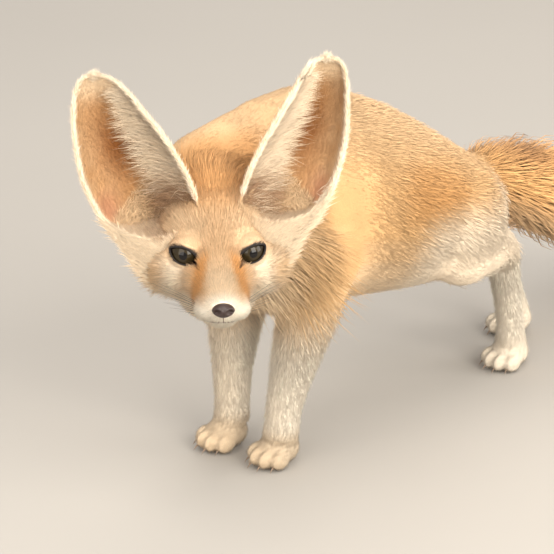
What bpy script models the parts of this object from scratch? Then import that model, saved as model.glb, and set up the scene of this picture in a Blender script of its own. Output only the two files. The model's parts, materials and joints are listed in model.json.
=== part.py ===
"""A fennec fox at life size, standing with its head turned to its left.

Metres, +Z up. The fox faces -Y and its left side is +X. All four feet stand on Z = 0.
The head is modelled in its own frame, whose origin lies midway between the eyes.
"""

import math
import random
from functools import partial

import bmesh
import bpy
from mathutils import Matrix, Vector

GAP = 0.0003
LOCK_GAP = 1.5 * GAP
NEAR = 0.00001
LINE_STEPS = 12

# Where the head is held: the point midway between the eyes, and its turn to the fox's left.
HEAD_AT = Vector((0.0393, -0.0624, 0.1566))
HEAD_YAW = math.radians(50.0)

# Trunk, from chest to rump: y, height of the back, height of the belly, half width.
TRUNK = (
    (-0.030, 0.200, 0.118, 0.024),
    (-0.012, 0.212, 0.098, 0.036),
    (0.010, 0.221, 0.090, 0.044),
    (0.042, 0.222, 0.088, 0.049),
    (0.080, 0.210, 0.083, 0.050),
    (0.105, 0.199, 0.079, 0.050),
    (0.126, 0.187, 0.075, 0.049),
    (0.150, 0.172, 0.074, 0.046),
    (0.175, 0.155, 0.080, 0.040),
    (0.198, 0.139, 0.098, 0.028),
)
# Neck, from the torso to the back of the head: centre, half width, half height.
NECK = (
    ((-0.002, 0.020, 0.160), 0.038, 0.054),
    ((-0.010, -0.006, 0.166), 0.033, 0.048),
    ((-0.010, -0.026, 0.167), 0.030, 0.040),
    ((0.000, -0.042, 0.163), 0.028, 0.031),
)
# Legs, top to bottom: centre, half size across, half size fore and aft.
FORELEGS = {
    "left": (
        ((0.0300, 0.0300, 0.150), 0.0200, 0.0340),
        ((0.0290, 0.0280, 0.122), 0.0200, 0.0300),
        ((0.0250, 0.0240, 0.098), 0.0175, 0.0220),
        ((0.0215, 0.0195, 0.075), 0.0150, 0.0170),
        ((0.0185, 0.0140, 0.050), 0.0125, 0.0135),
        ((0.0165, 0.0115, 0.034), 0.0115, 0.0122),
        ((0.0158, 0.0092, 0.016), 0.0112, 0.0115),
    ),
    "right": (
        ((-0.0300, 0.0300, 0.150), 0.0200, 0.0340),
        ((-0.0290, 0.0260, 0.122), 0.0200, 0.0300),
        ((-0.0270, 0.0180, 0.098), 0.0175, 0.0220),
        ((-0.0250, 0.0120, 0.075), 0.0150, 0.0170),
        ((-0.0235, 0.0085, 0.050), 0.0125, 0.0135),
        ((-0.0228, 0.0075, 0.034), 0.0115, 0.0122),
        ((-0.0228, 0.0070, 0.016), 0.0112, 0.0115),
    ),
}
# The right hind leg reaches further back than the left one.
HINDLEGS = {
    "left": (
        (((0.020, 0.165, 0.135), 0.020, 0.032), ((0.029, 0.155, 0.125), 0.023, 0.034),
         ((0.034, 0.147, 0.112), 0.021, 0.028), ((0.035, 0.140, 0.100), 0.018, 0.021)),
        (((0.035, 0.138, 0.103), 0.0180, 0.0210), ((0.034, 0.155, 0.101), 0.0185, 0.0220),
         ((0.030, 0.175, 0.096), 0.0165, 0.0185), ((0.025, 0.192, 0.090), 0.0130, 0.0150),
         ((0.0215, 0.203, 0.083), 0.0105, 0.0125)),
        (((0.0212, 0.2000, 0.088), 0.0100, 0.0125), ((0.0205, 0.2050, 0.070), 0.0095, 0.0115),
         ((0.0190, 0.2105, 0.050), 0.0090, 0.0102), ((0.0176, 0.2158, 0.031), 0.0095, 0.0104),
         ((0.0165, 0.2190, 0.014), 0.0105, 0.0112)),
    ),
    "right": (
        (((-0.020, 0.165, 0.135), 0.020, 0.032), ((-0.029, 0.162, 0.124), 0.023, 0.034),
         ((-0.034, 0.162, 0.112), 0.021, 0.029), ((-0.036, 0.162, 0.101), 0.018, 0.022)),
        (((-0.036, 0.161, 0.103), 0.0180, 0.0210), ((-0.0350, 0.184, 0.096), 0.0180, 0.0200),
         ((-0.0310, 0.208, 0.088), 0.0150, 0.0160), ((-0.0265, 0.230, 0.079), 0.0115, 0.0130),
         ((-0.0242, 0.244, 0.072), 0.0098, 0.0112)),
        (((-0.0242, 0.2430, 0.076), 0.0092, 0.0112), ((-0.0235, 0.2495, 0.060), 0.0090, 0.0108),
         ((-0.0222, 0.2565, 0.044), 0.0090, 0.0102), ((-0.0210, 0.2620, 0.029), 0.0095, 0.0104),
         ((-0.0200, 0.2655, 0.014), 0.0105, 0.0112)),
    ),
}
# Paws: where the middle of the sole stands, and how far the toes turn out.
PAWS = {
    "forepaw_left": ((0.0145, 0.0065), 0.0),
    "forepaw_right": ((-0.0240, 0.0010), 6.0),
    "hindpaw_left": ((0.0163, 0.2155), 0.0),
    "hindpaw_right": ((-0.0198, 0.2620), 0.0),
}
PALM_AT, PALM_SIZE = (0.0, 0.0030, 0.0100), (0.0124, 0.0138, 0.0116)
TOE_SIDE, TOE_FRONT, TOE_SIZE = (0.0036, 0.0100), (-0.0100, -0.0055), (0.0041, 0.0078, 0.0070)
TOE_HEIGHT = 0.0062

TAIL = (
    ((0.000, 0.178, 0.134), 0.016),
    ((0.000, 0.196, 0.130), 0.019),
    ((0.000, 0.215, 0.124), 0.022),
    ((0.001, 0.246, 0.112), 0.027),
    ((0.003, 0.280, 0.097), 0.032),
    ((0.005, 0.315, 0.080), 0.034),
    ((0.007, 0.348, 0.064), 0.031),
    ((0.009, 0.376, 0.053), 0.025),
    ((0.011, 0.402, 0.046), 0.015),
    ((0.012, 0.418, 0.043), 0.004),
)

# Head, in its own frame: y (back is +), centre height, half width, half height.
FACE = (
    (-0.0425, -0.0178, 0.0070, 0.0050),
    (-0.0390, -0.0178, 0.0108, 0.0074),
    (-0.0330, -0.0180, 0.0140, 0.0092),
    (-0.0250, -0.0175, 0.0150, 0.0112),
    (-0.0160, -0.0165, 0.0165, 0.0138),
    (-0.0070, -0.0130, 0.0205, 0.0182),
    (0.0030, -0.0085, 0.0265, 0.0235),
    (0.0150, -0.0050, 0.0325, 0.0300),
    (0.0280, -0.0030, 0.0330, 0.0325),
    (0.0400, -0.0020, 0.0290, 0.0300),
    (0.0480, -0.0010, 0.0230, 0.0250),
)
JAW = (
    (-0.0365, -0.0250, 0.0055, 0.0035),
    (-0.0300, -0.0262, 0.0085, 0.0050),
    (-0.0180, -0.0278, 0.0120, 0.0065),
    (-0.0020, -0.0290, 0.0185, 0.0085),
    (0.0140, -0.0260, 0.0240, 0.0110),
)
CHEEK_AT, CHEEK_SIZE = (0.0200, 0.0200, -0.0120), (0.0215, 0.0270, 0.0190)
BROW_AT, BROW_SIZE = (0.0150, 0.0060, 0.0060), (0.0100, 0.0090, 0.0055)
WHISKER_PAD_AT, WHISKER_PAD_SIZE = (0.0075, -0.0325, -0.0190), (0.0078, 0.0095, 0.0062)
EYE_AT, EYE_R = Vector((0.0172, 0.0030, 0.0000)), 0.0080
EYE_TURN, EYE_LIFT, EYE_TILT = math.radians(13.0), math.radians(8.0), math.radians(-27.0)
EYE_OPENING = (0.0070, 0.0043)
LID_THICK = 0.0012
NOSE_AT, NOSE_SIZE = (0.0, -0.0432, -0.0160), (0.0064, 0.0042, 0.0044)
NOSTRIL_AT, NOSTRIL_SIZE, NOSTRIL_TURN = (0.0033, -0.0468, -0.0162), (0.0011, 0.0020, 0.0018), 0.5
MOUTH = (
    (0.0, -0.0405, -0.0238), (0.0040, -0.0385, -0.0245), (0.0085, -0.0340, -0.0251),
    (0.0125, -0.0270, -0.0248), (0.0150, -0.0190, -0.0235),
)
MOUTH_HALF_HEIGHT, MOUTH_HALF_DEPTH, MOUTH_RINGS, MOUTH_END = 0.0006, 0.0025, 17, 0.4
LID_POINTS, LID_CORNER = 20, 0.35
BALL_SEGMENTS, LID_SEGMENTS, NOSE_SEGMENTS, NOSTRIL_SEGMENTS = 16, 18, 18, 10

# Ears in the head's frame. Each edge runs from the head to the tip; the back is the deepest line of the cup.
RIGHT_EAR = {
    "medial": (
        (-0.0100, 0.0180, 0.0100), (-0.0125, 0.0160, 0.0260), (-0.0198, 0.0130, 0.0504),
        (-0.0316, 0.0120, 0.0729), (-0.0431, 0.0130, 0.0884), (-0.0545, 0.0150, 0.1005),
        (-0.0640, 0.0180, 0.1060), (-0.0708, 0.0200, 0.1080),
    ),
    "lateral": (
        (-0.0380, 0.0120, -0.0150), (-0.0480, 0.0100, -0.0043), (-0.0557, 0.0090, 0.0087),
        (-0.0643, 0.0100, 0.0211), (-0.0723, 0.0110, 0.0340), (-0.0786, 0.0130, 0.0490),
        (-0.0818, 0.0150, 0.0651), (-0.0828, 0.0170, 0.0829), (-0.0808, 0.0190, 0.0963),
        (-0.0766, 0.0200, 0.1050), (-0.0708, 0.0200, 0.1080),
    ),
    "back": (
        (-0.0300, 0.0440, -0.0020), (-0.0380, 0.0440, 0.0180), (-0.0470, 0.0410, 0.0390),
        (-0.0560, 0.0360, 0.0610), (-0.0640, 0.0300, 0.0830), (-0.0690, 0.0250, 0.0990),
        (-0.0708, 0.0200, 0.1080),
    ),
}
LEFT_EAR = {
    "medial": (
        (0.0120, 0.0180, 0.0120), (0.0153, 0.0150, 0.0289), (0.0201, 0.0110, 0.0500),
        (0.0286, 0.0090, 0.0690), (0.0373, 0.0090, 0.0841), (0.0451, 0.0110, 0.0967),
        (0.0512, 0.0140, 0.1046), (0.0581, 0.0180, 0.1120), (0.0656, 0.0230, 0.1130),
    ),
    "lateral": (
        (0.0380, 0.0150, -0.0120), (0.0460, 0.0140, 0.0010), (0.0531, 0.0150, 0.0145),
        (0.0591, 0.0170, 0.0202), (0.0646, 0.0200, 0.0280), (0.0702, 0.0230, 0.0391),
        (0.0747, 0.0260, 0.0514), (0.0778, 0.0280, 0.0660), (0.0785, 0.0290, 0.0810),
        (0.0772, 0.0280, 0.0969), (0.0729, 0.0260, 0.1084), (0.0656, 0.0230, 0.1130),
    ),
    "back": (
        (0.0320, 0.0290, -0.0010), (0.0400, 0.0340, 0.0180), (0.0460, 0.0400, 0.0390),
        (0.0520, 0.0450, 0.0610), (0.0590, 0.0400, 0.0830), (0.0640, 0.0320, 0.1010),
        (0.0656, 0.0230, 0.1130),
    ),
}
EARS = {"ear_right": RIGHT_EAR, "ear_left": LEFT_EAR}
EAR_SHIFT = {"ear_right": Vector((0.0060, 0.0, -0.0080)), "ear_left": Vector((-0.0050, 0.0, -0.0078))}
EAR_THICK = 0.0024
EAR_ROWS, EAR_COLUMNS = 16, 10
EAR_CUP = 0.85

BODY_VOXEL, BODY_SMOOTH, BODY_TRIANGLES = 0.0018, 6, 3600
HEAD_VOXEL, HEAD_SMOOTH, HEAD_TRIANGLES = 0.0011, 5, 1700

# Where the skin is parted: a point on each cut, the way that the cut faces, and half its width.
CUTS = (
    ((-0.0010, -0.0340, 0.1600), (0.25, -0.97, 0.0), 0.060),
    ((0.0000, -0.0050, 0.1650), (0.10, -0.84, 0.54), 0.070),
    ((0.0000, 0.1100, 0.1450), (0.0, 1.0, 0.0), 0.080),
    ((0.0230, 0.0200, 0.0800), (0.0, 0.0, 1.0), 0.022),
    ((-0.0250, 0.0150, 0.0800), (0.0, 0.0, 1.0), 0.022),
    ((0.0165, 0.0100, 0.0260), (0.0, 0.0, 1.0), 0.018),
    ((-0.0228, 0.0070, 0.0260), (0.0, 0.0, 1.0), 0.018),
    ((0.0212, 0.2035, 0.0770), (0.0, -0.25, 1.0), 0.020),
    ((-0.0240, 0.2460, 0.0660), (0.0, -0.25, 1.0), 0.020),
    ((0.0172, 0.2170, 0.0260), (0.0, 0.0, 1.0), 0.018),
    ((-0.0208, 0.2630, 0.0260), (0.0, 0.0, 1.0), 0.018),
    ((0.0000, 0.2120, 0.1250), (0.0, 0.95, -0.30), 0.032),
)
# A point on or in each piece of the parted skin.
SEEDS = {
    "neck": (0.0, -0.018, 0.205),
    "torso": (0.0, 0.060, 0.218),
    "hips": (0.0, 0.150, 0.172),
    "tail": (0.004, 0.300, 0.120),
    "foreleg_left": (0.0185, 0.014, 0.050),
    "forepaw_left": (0.0158, -0.004, 0.006),
    "foreleg_right": (-0.0235, 0.0085, 0.050),
    "forepaw_right": (-0.0240, -0.010, 0.006),
    "metatarsus_left": (0.0190, 0.2105, 0.050),
    "hindpaw_left": (0.0160, 0.206, 0.006),
    "metatarsus_right": (-0.0222, 0.2565, 0.044),
    "hindpaw_right": (-0.0198, 0.252, 0.006),
}
THIGH_OVAL_AT, THIGH_OVAL_SIZE, THIGH_BACK = (0.048, 0.162, 0.106), (0.034, 0.048, 0.042), 0.020

# Locks of long fur: length, half width and half thickness at their widest, and how much each one varies.
TAIL_LOCK, RUFF_LOCK, FRINGE_LOCK = (0.046, 0.0098, 0.0015), (0.024, 0.0064, 0.0013), (0.024, 0.0030, 0.0008)
VARY = 0.18
TAIL_SEED, RUFF_SEED, FRINGE_SEED, DRAWS, LEAST_LEFT = 11, 23, 8, 12, 0.98
LOCK_SHAPE = ((0.0, 0.55), (0.30, 1.0), (0.68, 0.62))
# The tail's core is half as thick as the whole, but full where it leaves the body.
CORE, TAIL_CORE = 0.5, (1.0, 1.0, 0.85, 0.65)
TAIL_RINGS, TAIL_AROUND, TAIL_STEPS = 8, 7, 60
TAIL_START, TAIL_END, TAIL_WIDEST, TIP_AHEAD = 0.13, 0.86, 0.034, 0.030
# How far a lock's root lies from the middle of the core, and how far it leans out at its root and at its tip.
ROOT_SHARE, LEAN_ROOT, LEAN_TIP, TURN_VARY = 0.74, 0.88, 0.22, 0.15
# Where the ruff grows on each cheek, from below the ear to the throat, and how it lies, in the head's frame.
RUFF = (
    ((0.0330, 0.0240, -0.0040), (0.66, 0.78, -0.02)),
    ((0.0350, 0.0160, -0.0090), (0.64, 0.80, -0.08)),
    ((0.0335, 0.0260, -0.0120), (0.62, 0.80, -0.14)),
    ((0.0360, 0.0150, -0.0160), (0.58, 0.80, -0.20)),
    ((0.0325, 0.0240, -0.0200), (0.52, 0.82, -0.28)),
    ((0.0330, 0.0120, -0.0225), (0.46, 0.82, -0.34)),
    ((0.0270, 0.0200, -0.0265), (0.38, 0.84, -0.38)),
    ((0.0235, 0.0140, -0.0275), (0.30, 0.86, -0.40)),
    ((0.0180, 0.0160, -0.0300), (0.18, 0.90, -0.38)),
)
RUFF_DEPTH, RUFF_FLAT, RUFF_FLAT_TURN = Vector((0.0060, 0.0030, -0.0020)), (0.75, -0.55), 12.0
RUFF_BEND, RUFF_DROOP = 0.8, 0.20
# Where the fringe grows along the inner edge of an ear, and how it lies: across, along and into the cup.
FRINGE_STEPS = (0.21, 0.28, 0.35, 0.42, 0.49, 0.58)
FRINGE_START, FRINGE_BEND, FRINGE_DEPTH = (0.75, 0.62, -0.12), (0.55, 0.80, 0.12), 0.0016
EDGE_STEPS = 101

# Colour and roughness of each node: the coat's, if it isn't named here.
COAT = ((0.72, 0.45, 0.22, 1.0), 0.9)
BARE = {
    "nose": ((0.04, 0.02, 0.02, 1.0), 0.45),
    "eye_left": ((0.05, 0.04, 0.02, 1.0), 0.15),
    "eye_right": ((0.05, 0.04, 0.02, 1.0), 0.15),
}


def clear_scene():
    for thing in list(bpy.data.objects):
        bpy.data.objects.remove(thing)


def make_collection(name):
    collection = bpy.data.collections.new(name)
    bpy.context.scene.collection.children.link(collection)
    return collection


def make_material(name, colour, roughness):
    material = bpy.data.materials.new(name)
    material.use_nodes = True
    shader = material.node_tree.nodes["Principled BSDF"]
    shader.inputs["Base Color"].default_value = colour
    shader.inputs["Roughness"].default_value = roughness
    shader.inputs["Metallic"].default_value = 0.0
    return material


def link_mesh(name, bm):
    """Close a bmesh into a new object of the model's collection, with its faces pointing out."""
    bmesh.ops.recalc_face_normals(bm, faces=bm.faces)
    mesh = bpy.data.meshes.new(name)
    bm.to_mesh(mesh)
    bm.free()
    thing = bpy.data.objects.new(name, mesh)
    MODEL.objects.link(thing)
    return thing


def bake_modifiers(thing):
    """Replace an object's mesh with what its modifiers make of it."""
    bpy.context.view_layer.update()
    graph = bpy.context.evaluated_depsgraph_get()
    mesh = bpy.data.meshes.new_from_object(thing.evaluated_get(graph))
    thing.modifiers.clear()
    thing.data = mesh


def combine(thing, other, operation, solver="EXACT"):
    """Cut or join with another object, which is used up."""
    modifier = thing.modifiers.new(operation, "BOOLEAN")
    modifier.object = other
    modifier.operation = operation
    modifier.solver = solver
    bake_modifiers(thing)
    bpy.data.objects.remove(other)


def head_matrix():
    return Matrix.Translation(HEAD_AT) @ Matrix.Rotation(HEAD_YAW, 4, "Z")


def add_ellipsoid(bm, centre, size, place=Matrix(), segments=20):
    """A sphere stretched to three half sizes, in the frame of a place."""
    stretch = Matrix.Diagonal((*size, 1.0))
    matrix = place @ Matrix.Translation(centre) @ stretch
    bmesh.ops.create_uvsphere(bm, u_segments=segments, v_segments=segments // 2, radius=1.0, matrix=matrix)


def add_loft(bm, rings):
    """A closed skin through rings of points, each with as many points as the next."""
    loops = [[bm.verts.new(point) for point in ring] for ring in rings]
    count = len(loops[0])
    for low, high in zip(loops, loops[1:]):
        for i in range(count):
            j = (i + 1) % count
            bm.faces.new((low[i], low[j], high[j], high[i]))
    bm.faces.new(reversed(loops[0]))
    bm.faces.new(loops[-1])


def oval(centre, across, along, half_across, half_along, count=24):
    turns = [2 * math.pi * i / count for i in range(count)]
    return [centre + across * half_across * math.cos(a) + along * half_along * math.sin(a) for a in turns]


def add_upright(bm, rows, place=Matrix()):
    """A loft of upright ovals along Y: y, centre height, half width, half height."""
    across, up = Vector((1, 0, 0)), Vector((0, 0, 1))
    rings = [oval(Vector((0, y, z)), across, up, wide, high) for y, z, wide, high in rows]
    add_loft(bm, [[place @ point for point in ring] for ring in rings])


def add_limb(bm, rows):
    """A loft of ovals square to the line through their centres: centre, half width, half depth."""
    centres = [Vector(centre) for centre, wide, deep in rows]
    rings = []
    for i, (centre, wide, deep) in enumerate(rows):
        ahead = centres[min(i + 1, len(rows) - 1)]
        behind = centres[max(i - 1, 0)]
        along = (ahead - behind).normalized()
        across = (Vector((1, 0, 0)) - along * along.x).normalized()
        rings.append(oval(centres[i], across, along.cross(across), wide, deep))
    add_loft(bm, rings)


def smooth_line(points, count):
    """Read a smooth curve through the points at even steps of its length."""
    points = [Vector(point) for point in points]
    ends = [2 * points[0] - points[1], *points, 2 * points[-1] - points[-2]]
    fine = []
    for a, b, c, d in zip(ends, ends[1:], ends[2:], ends[3:]):
        for i in range(LINE_STEPS):
            t = i / LINE_STEPS
            fine.append(0.5 * ((2 * b) + (c - a) * t + (2 * a - 5 * b + 4 * c - d) * t ** 2
                               + (3 * b - a - 3 * c + d) * t ** 3))
    fine.append(points[-1])
    lengths = [0.0]
    for a, b in zip(fine, fine[1:]):
        lengths.append(lengths[-1] + (b - a).length)
    line, k = [], 0
    for i in range(count):
        want = lengths[-1] * i / (count - 1)
        while k < len(fine) - 2 and lengths[k + 1] < want:
            k += 1
        step = max(lengths[k + 1] - lengths[k], 1e-12)
        line.append(fine[k].lerp(fine[k + 1], min(1.0, (want - lengths[k]) / step)))
    return line


def fuse(name, bm, voxel, rounds, triangles):
    """Melt overlapping solids into one skin and bring it down to a number of triangles."""
    thing = link_mesh(name, bm)
    remesh = thing.modifiers.new("Melt", "REMESH")
    remesh.mode = "VOXEL"
    remesh.voxel_size = voxel
    relax = thing.modifiers.new("Relax", "SMOOTH")
    relax.factor = 0.5
    relax.iterations = rounds
    bake_modifiers(thing)
    faces = sum(len(face.vertices) - 2 for face in thing.data.polygons)
    thin = thing.modifiers.new("Thin", "DECIMATE")
    thin.ratio = min(1.0, triangles / faces)
    thin.use_collapse_triangulate = True
    bake_modifiers(thing)
    return thing


def islands(thing):
    """The separate closed surfaces of an object, largest first, each as a list of face indices."""
    bm = bmesh.new()
    bm.from_mesh(thing.data)
    bm.faces.ensure_lookup_table()
    left = set(range(len(bm.faces)))
    found = []
    while left:
        stack = [left.pop()]
        group = []
        while stack:
            face = bm.faces[stack.pop()]
            group.append(face.index)
            for edge in face.edges:
                for other in edge.link_faces:
                    if other.index in left:
                        left.remove(other.index)
                        stack.append(other.index)
        found.append(group)
    bm.free()
    return sorted(found, key=len, reverse=True)


def take_island(thing, group, name):
    """A new object with only one of an object's separate surfaces."""
    bm = bmesh.new()
    bm.from_mesh(thing.data)
    keep = set(group)
    bmesh.ops.delete(bm, geom=[face for face in bm.faces if face.index not in keep], context="FACES")
    return link_mesh(name, bm)


def keep_largest(thing):
    groups = islands(thing)
    if len(groups) == 1:
        return thing
    name = thing.name
    kept = take_island(thing, groups[0], name)
    bpy.data.objects.remove(thing)
    kept.name = name
    return kept


def slab(centre, normal, half_size):
    """A thin square cutter, as thick as the gap between two nodes."""
    normal = Vector(normal).normalized()
    turn = normal.to_track_quat("Z", "Y").to_matrix().to_4x4()
    stretch = Matrix.Diagonal((2 * half_size, 2 * half_size, GAP, 1.0))
    bm = bmesh.new()
    bmesh.ops.create_cube(bm, size=1.0, matrix=Matrix.Translation(centre) @ turn @ stretch)
    return link_mesh("slab", bm)


def swollen(thing, by):
    """A copy of an object with its skin moved out, for cutting what grows from it."""
    copy = thing.copy()
    copy.data = thing.data.copy()
    MODEL.objects.link(copy)
    puff = copy.modifiers.new("Puff", "DISPLACE")
    puff.strength = by
    puff.mid_level = 0.0
    bake_modifiers(copy)
    return copy


def paw_matrix(name):
    (x, y), out = PAWS[name]
    side = 1.0 if name.endswith("left") else -1.0
    return Matrix.Translation((x, y, 0.0)) @ Matrix.Rotation(math.radians(out) * side, 4, "Z")


def add_paw(bm, name):
    place = paw_matrix(name)
    add_ellipsoid(bm, PALM_AT, PALM_SIZE, place)
    for side in (-1, 1):
        for inner, front in zip(TOE_SIDE, TOE_FRONT):
            add_ellipsoid(bm, (side * inner, front, TOE_HEIGHT), TOE_SIZE, place)


def add_body(bm):
    """Trunk, neck, legs and the core of the tail, which melt into one skin."""
    core = []
    add_upright(bm, [(y, (top + low) / 2, wide, (top - low) / 2) for y, top, low, wide in TRUNK])
    add_limb(bm, NECK)
    for rows in FORELEGS.values():
        add_limb(bm, rows)
    for lengths in HINDLEGS.values():
        for rows in lengths:
            add_limb(bm, rows)
    for (centre, radius), share in zip(TAIL, TAIL_CORE + (CORE,) * len(TAIL)):
        core.append((centre, radius * share, radius * share))
    add_limb(bm, core)
    for name in PAWS:
        add_paw(bm, name)


def add_head(bm):
    """Skull, muzzle, jaw and the fleshy forms on them."""
    place = head_matrix()
    add_upright(bm, FACE, place)
    add_upright(bm, JAW, place)
    for side in (-1, 1):
        for centre, size in ((CHEEK_AT, CHEEK_SIZE), (BROW_AT, BROW_SIZE), (WHISKER_PAD_AT, WHISKER_PAD_SIZE)):
            add_ellipsoid(bm, (side * centre[0], centre[1], centre[2]), size, place)


def make_skins():
    """The whole skin twice: coarse for the body, and finer for the head, each with its neighbour."""
    body = bmesh.new()
    add_body(body)
    add_head(body)
    coarse = fuse("body_skin", body, BODY_VOXEL, BODY_SMOOTH, BODY_TRIANGLES)
    head = bmesh.new()
    add_head(head)
    add_limb(head, NECK)
    fine = fuse("head_skin", head, HEAD_VOXEL, HEAD_SMOOTH, HEAD_TRIANGLES)
    return coarse, fine


def part_body(skin):
    """Part the skin with thin cuts and keep the piece nearest to each node's own point."""
    for centre, normal, half_size in CUTS:
        combine(skin, slab(Vector(centre), normal, half_size), "DIFFERENCE")
    floor = bmesh.new()
    bmesh.ops.create_cube(floor, size=1.0, matrix=Matrix.Translation((0.0, 0.1, -0.5)))
    combine(skin, link_mesh("floor", floor), "DIFFERENCE")
    vertices = skin.data.vertices
    pieces = []
    for group in islands(skin):
        used = {i for face in group for i in skin.data.polygons[face].vertices}
        pieces.append((group, [vertices[i].co for i in used]))
    taken = []
    for name, point in SEEDS.items():
        point = Vector(point)
        group, points = min(pieces, key=lambda piece: min((co - point).length for co in piece[1]))
        if group in taken:
            raise RuntimeError(f"{name} isn't parted from its neighbour")
        taken.append(group)
        take_island(skin, group, name)
    bpy.data.objects.remove(skin)


def cut_thighs():
    """Part each thigh from the hips along an oval, which both then follow."""
    hips = bpy.data.objects["hips"]
    for name, side, back in (("thigh_left", 1, 0.0), ("thigh_right", -1, THIGH_BACK)):
        x, y, z = THIGH_OVAL_AT
        thigh = hips.copy()
        thigh.data = hips.data.copy()
        thigh.name = name
        MODEL.objects.link(thigh)
        for target, grow, operation in ((thigh, 0.0, "INTERSECT"), (hips, GAP, "DIFFERENCE")):
            oval_cutter = bmesh.new()
            size = [half + grow for half in THIGH_OVAL_SIZE]
            add_ellipsoid(oval_cutter, (side * x, y + back, z), size, segments=20)
            combine(target, link_mesh("oval", oval_cutter), operation)
        keep_largest(thigh)
    keep_largest(hips)


def lock_rings(root, path, flat, half_width, half_thick, length):
    """Rings of a flat lock that starts at its root, bends along two directions and comes to a point."""
    start, bend = path
    rings = []
    point = Vector(root)
    last = 0.0
    for along, share in LOCK_SHAPE:
        way = start.lerp(bend, along).normalized()
        point = point + way * length * (along - last)
        last = along
        side = way.cross(flat).normalized()
        up = side.cross(way).normalized()
        rings.append([point + side * half_width * share, point + up * half_thick * share,
                      point - side * half_width * share, point - up * half_thick * share])
    tip = point + start.lerp(bend, 1.0).normalized() * length * (1.0 - last)
    return rings, tip


def add_lock(collection, root, start, bend, flat, sizes, draw):
    """One lock as its own closed object, a little different from the next."""
    length, half_width, half_thick = [size * (1.0 + VARY * draw.uniform(-1.0, 1.0)) for size in sizes]
    rings, tip = lock_rings(root, (start, bend), flat, half_width, half_thick, length)
    bm = bmesh.new()
    loops = [[bm.verts.new(point) for point in ring] for ring in rings]
    for low, high in zip(loops, loops[1:]):
        for i in range(4):
            j = (i + 1) % 4
            bm.faces.new((low[i], low[j], high[j], high[i]))
    end = bm.verts.new(tip)
    for i in range(4):
        bm.faces.new((loops[-1][i], loops[-1][(i + 1) % 4], end))
    bm.faces.new(reversed(loops[0]))
    bmesh.ops.triangulate(bm, faces=bm.faces)
    lock = link_mesh("lock", bm)
    MODEL.objects.unlink(lock)
    collection.objects.link(lock)


def weld(thing):
    """Merge points that meet, and drop the faces that shrink to nothing."""
    bm = bmesh.new()
    bm.from_mesh(thing.data)
    bmesh.ops.remove_doubles(bm, verts=bm.verts, dist=NEAR)
    bmesh.ops.dissolve_degenerate(bm, edges=bm.edges, dist=NEAR)
    bmesh.ops.triangulate(bm, faces=bm.faces)
    bmesh.ops.recalc_face_normals(bm, faces=bm.faces)
    bm.to_mesh(thing.data)
    bm.free()


def closed_volume(thing):
    """The volume of a closed surface, or nothing where it has open or shared edges."""
    bm = bmesh.new()
    bm.from_mesh(thing.data)
    size = bm.calc_volume() if all(len(edge.link_faces) == 2 for edge in bm.edges) else 0.0
    bm.free()
    return size


def grow(node, plant, seed, clear_of):
    """Join a node's locks to it and cut them clear of its neighbours, with new draws until the skin closes."""
    weld(node)
    plain = node.data
    least = LEAST_LEFT * closed_volume(node)
    for draw in range(seed, seed + DRAWS):
        node.data = plain.copy()
        collection = make_collection("locks")
        plant(collection, random.Random(draw))
        modifier = node.modifiers.new("Grow", "BOOLEAN")
        modifier.operand_type = "COLLECTION"
        modifier.collection = collection
        modifier.operation = "UNION"
        modifier.solver = "EXACT"
        bake_modifiers(node)
        for lock in list(collection.objects):
            bpy.data.objects.remove(lock)
        bpy.data.collections.remove(collection)
        weld(node)
        for neighbour in clear_of:
            combine(node, swollen(neighbour, LOCK_GAP), "DIFFERENCE", "MANIFOLD")
        node = keep_largest(node)
        weld(node)
        if closed_volume(node) > least > 0.0:
            return node
    raise RuntimeError(f"the locks of {node.name} don't join")


def between(pairs, at):
    """Read a value between neighbouring pairs of place and value."""
    for (low, first), (high, second) in zip(pairs, pairs[1:]):
        if at <= high:
            return first + (second - first) * (at - low) / (high - low)
    return pairs[-1][1]


def plant_tail(collection, draw):
    """Overlapping rings of locks along the tail, from its root to a pointed end."""
    centres = smooth_line([centre for centre, radius in TAIL], TAIL_STEPS)
    spans = [(centre[1], radius) for centre, radius in TAIL]
    for ring in range(TAIL_RINGS):
        share = TAIL_START + (TAIL_END - TAIL_START) * ring / (TAIL_RINGS - 1)
        i = round(share * (TAIL_STEPS - 1))
        centre = centres[i]
        radius = between(spans, centre.y)
        ahead = between(spans, centre.y + TIP_AHEAD)
        axis = (centres[min(i + 2, TAIL_STEPS - 1)] - centres[i - 2]).normalized()
        across = axis.cross(Vector((0, 0, 1))).normalized()
        up = across.cross(axis)
        count = TAIL_AROUND if ring < TAIL_RINGS - 2 else TAIL_AROUND - 2
        for k in range(count):
            a = 2 * math.pi * (k + 0.5 * (ring % 2) + TURN_VARY * draw.uniform(-1, 1)) / count
            out = across * math.cos(a) + up * math.sin(a)
            lean = out * (ahead / TAIL_WIDEST)
            start = (axis + lean * LEAN_ROOT).normalized()
            bend = (axis + lean * LEAN_TIP).normalized()
            add_lock(collection, centre + out * radius * CORE * ROOT_SHARE, start, bend, out, TAIL_LOCK, draw)


def plant_ruff(collection, draw):
    """The ruff of each cheek: locks from below the ear to the throat."""
    place = head_matrix()
    turn = place.to_3x3()
    for side in (-1, 1):
        for (x, y, z), (dx, dy, dz) in RUFF:
            root = place @ Vector((side * (x - RUFF_DEPTH.x), y - RUFF_DEPTH.y, z - RUFF_DEPTH.z))
            start = turn @ Vector((side * dx, dy, dz)).normalized()
            bend = turn @ Vector((side * dx * RUFF_BEND, dy, dz - RUFF_DROOP)).normalized()
            flat = turn @ Vector((side * RUFF_FLAT[0], RUFF_FLAT[1], z * RUFF_FLAT_TURN)).normalized()
            add_lock(collection, root, start, bend, flat, RUFF_LOCK, draw)


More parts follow.
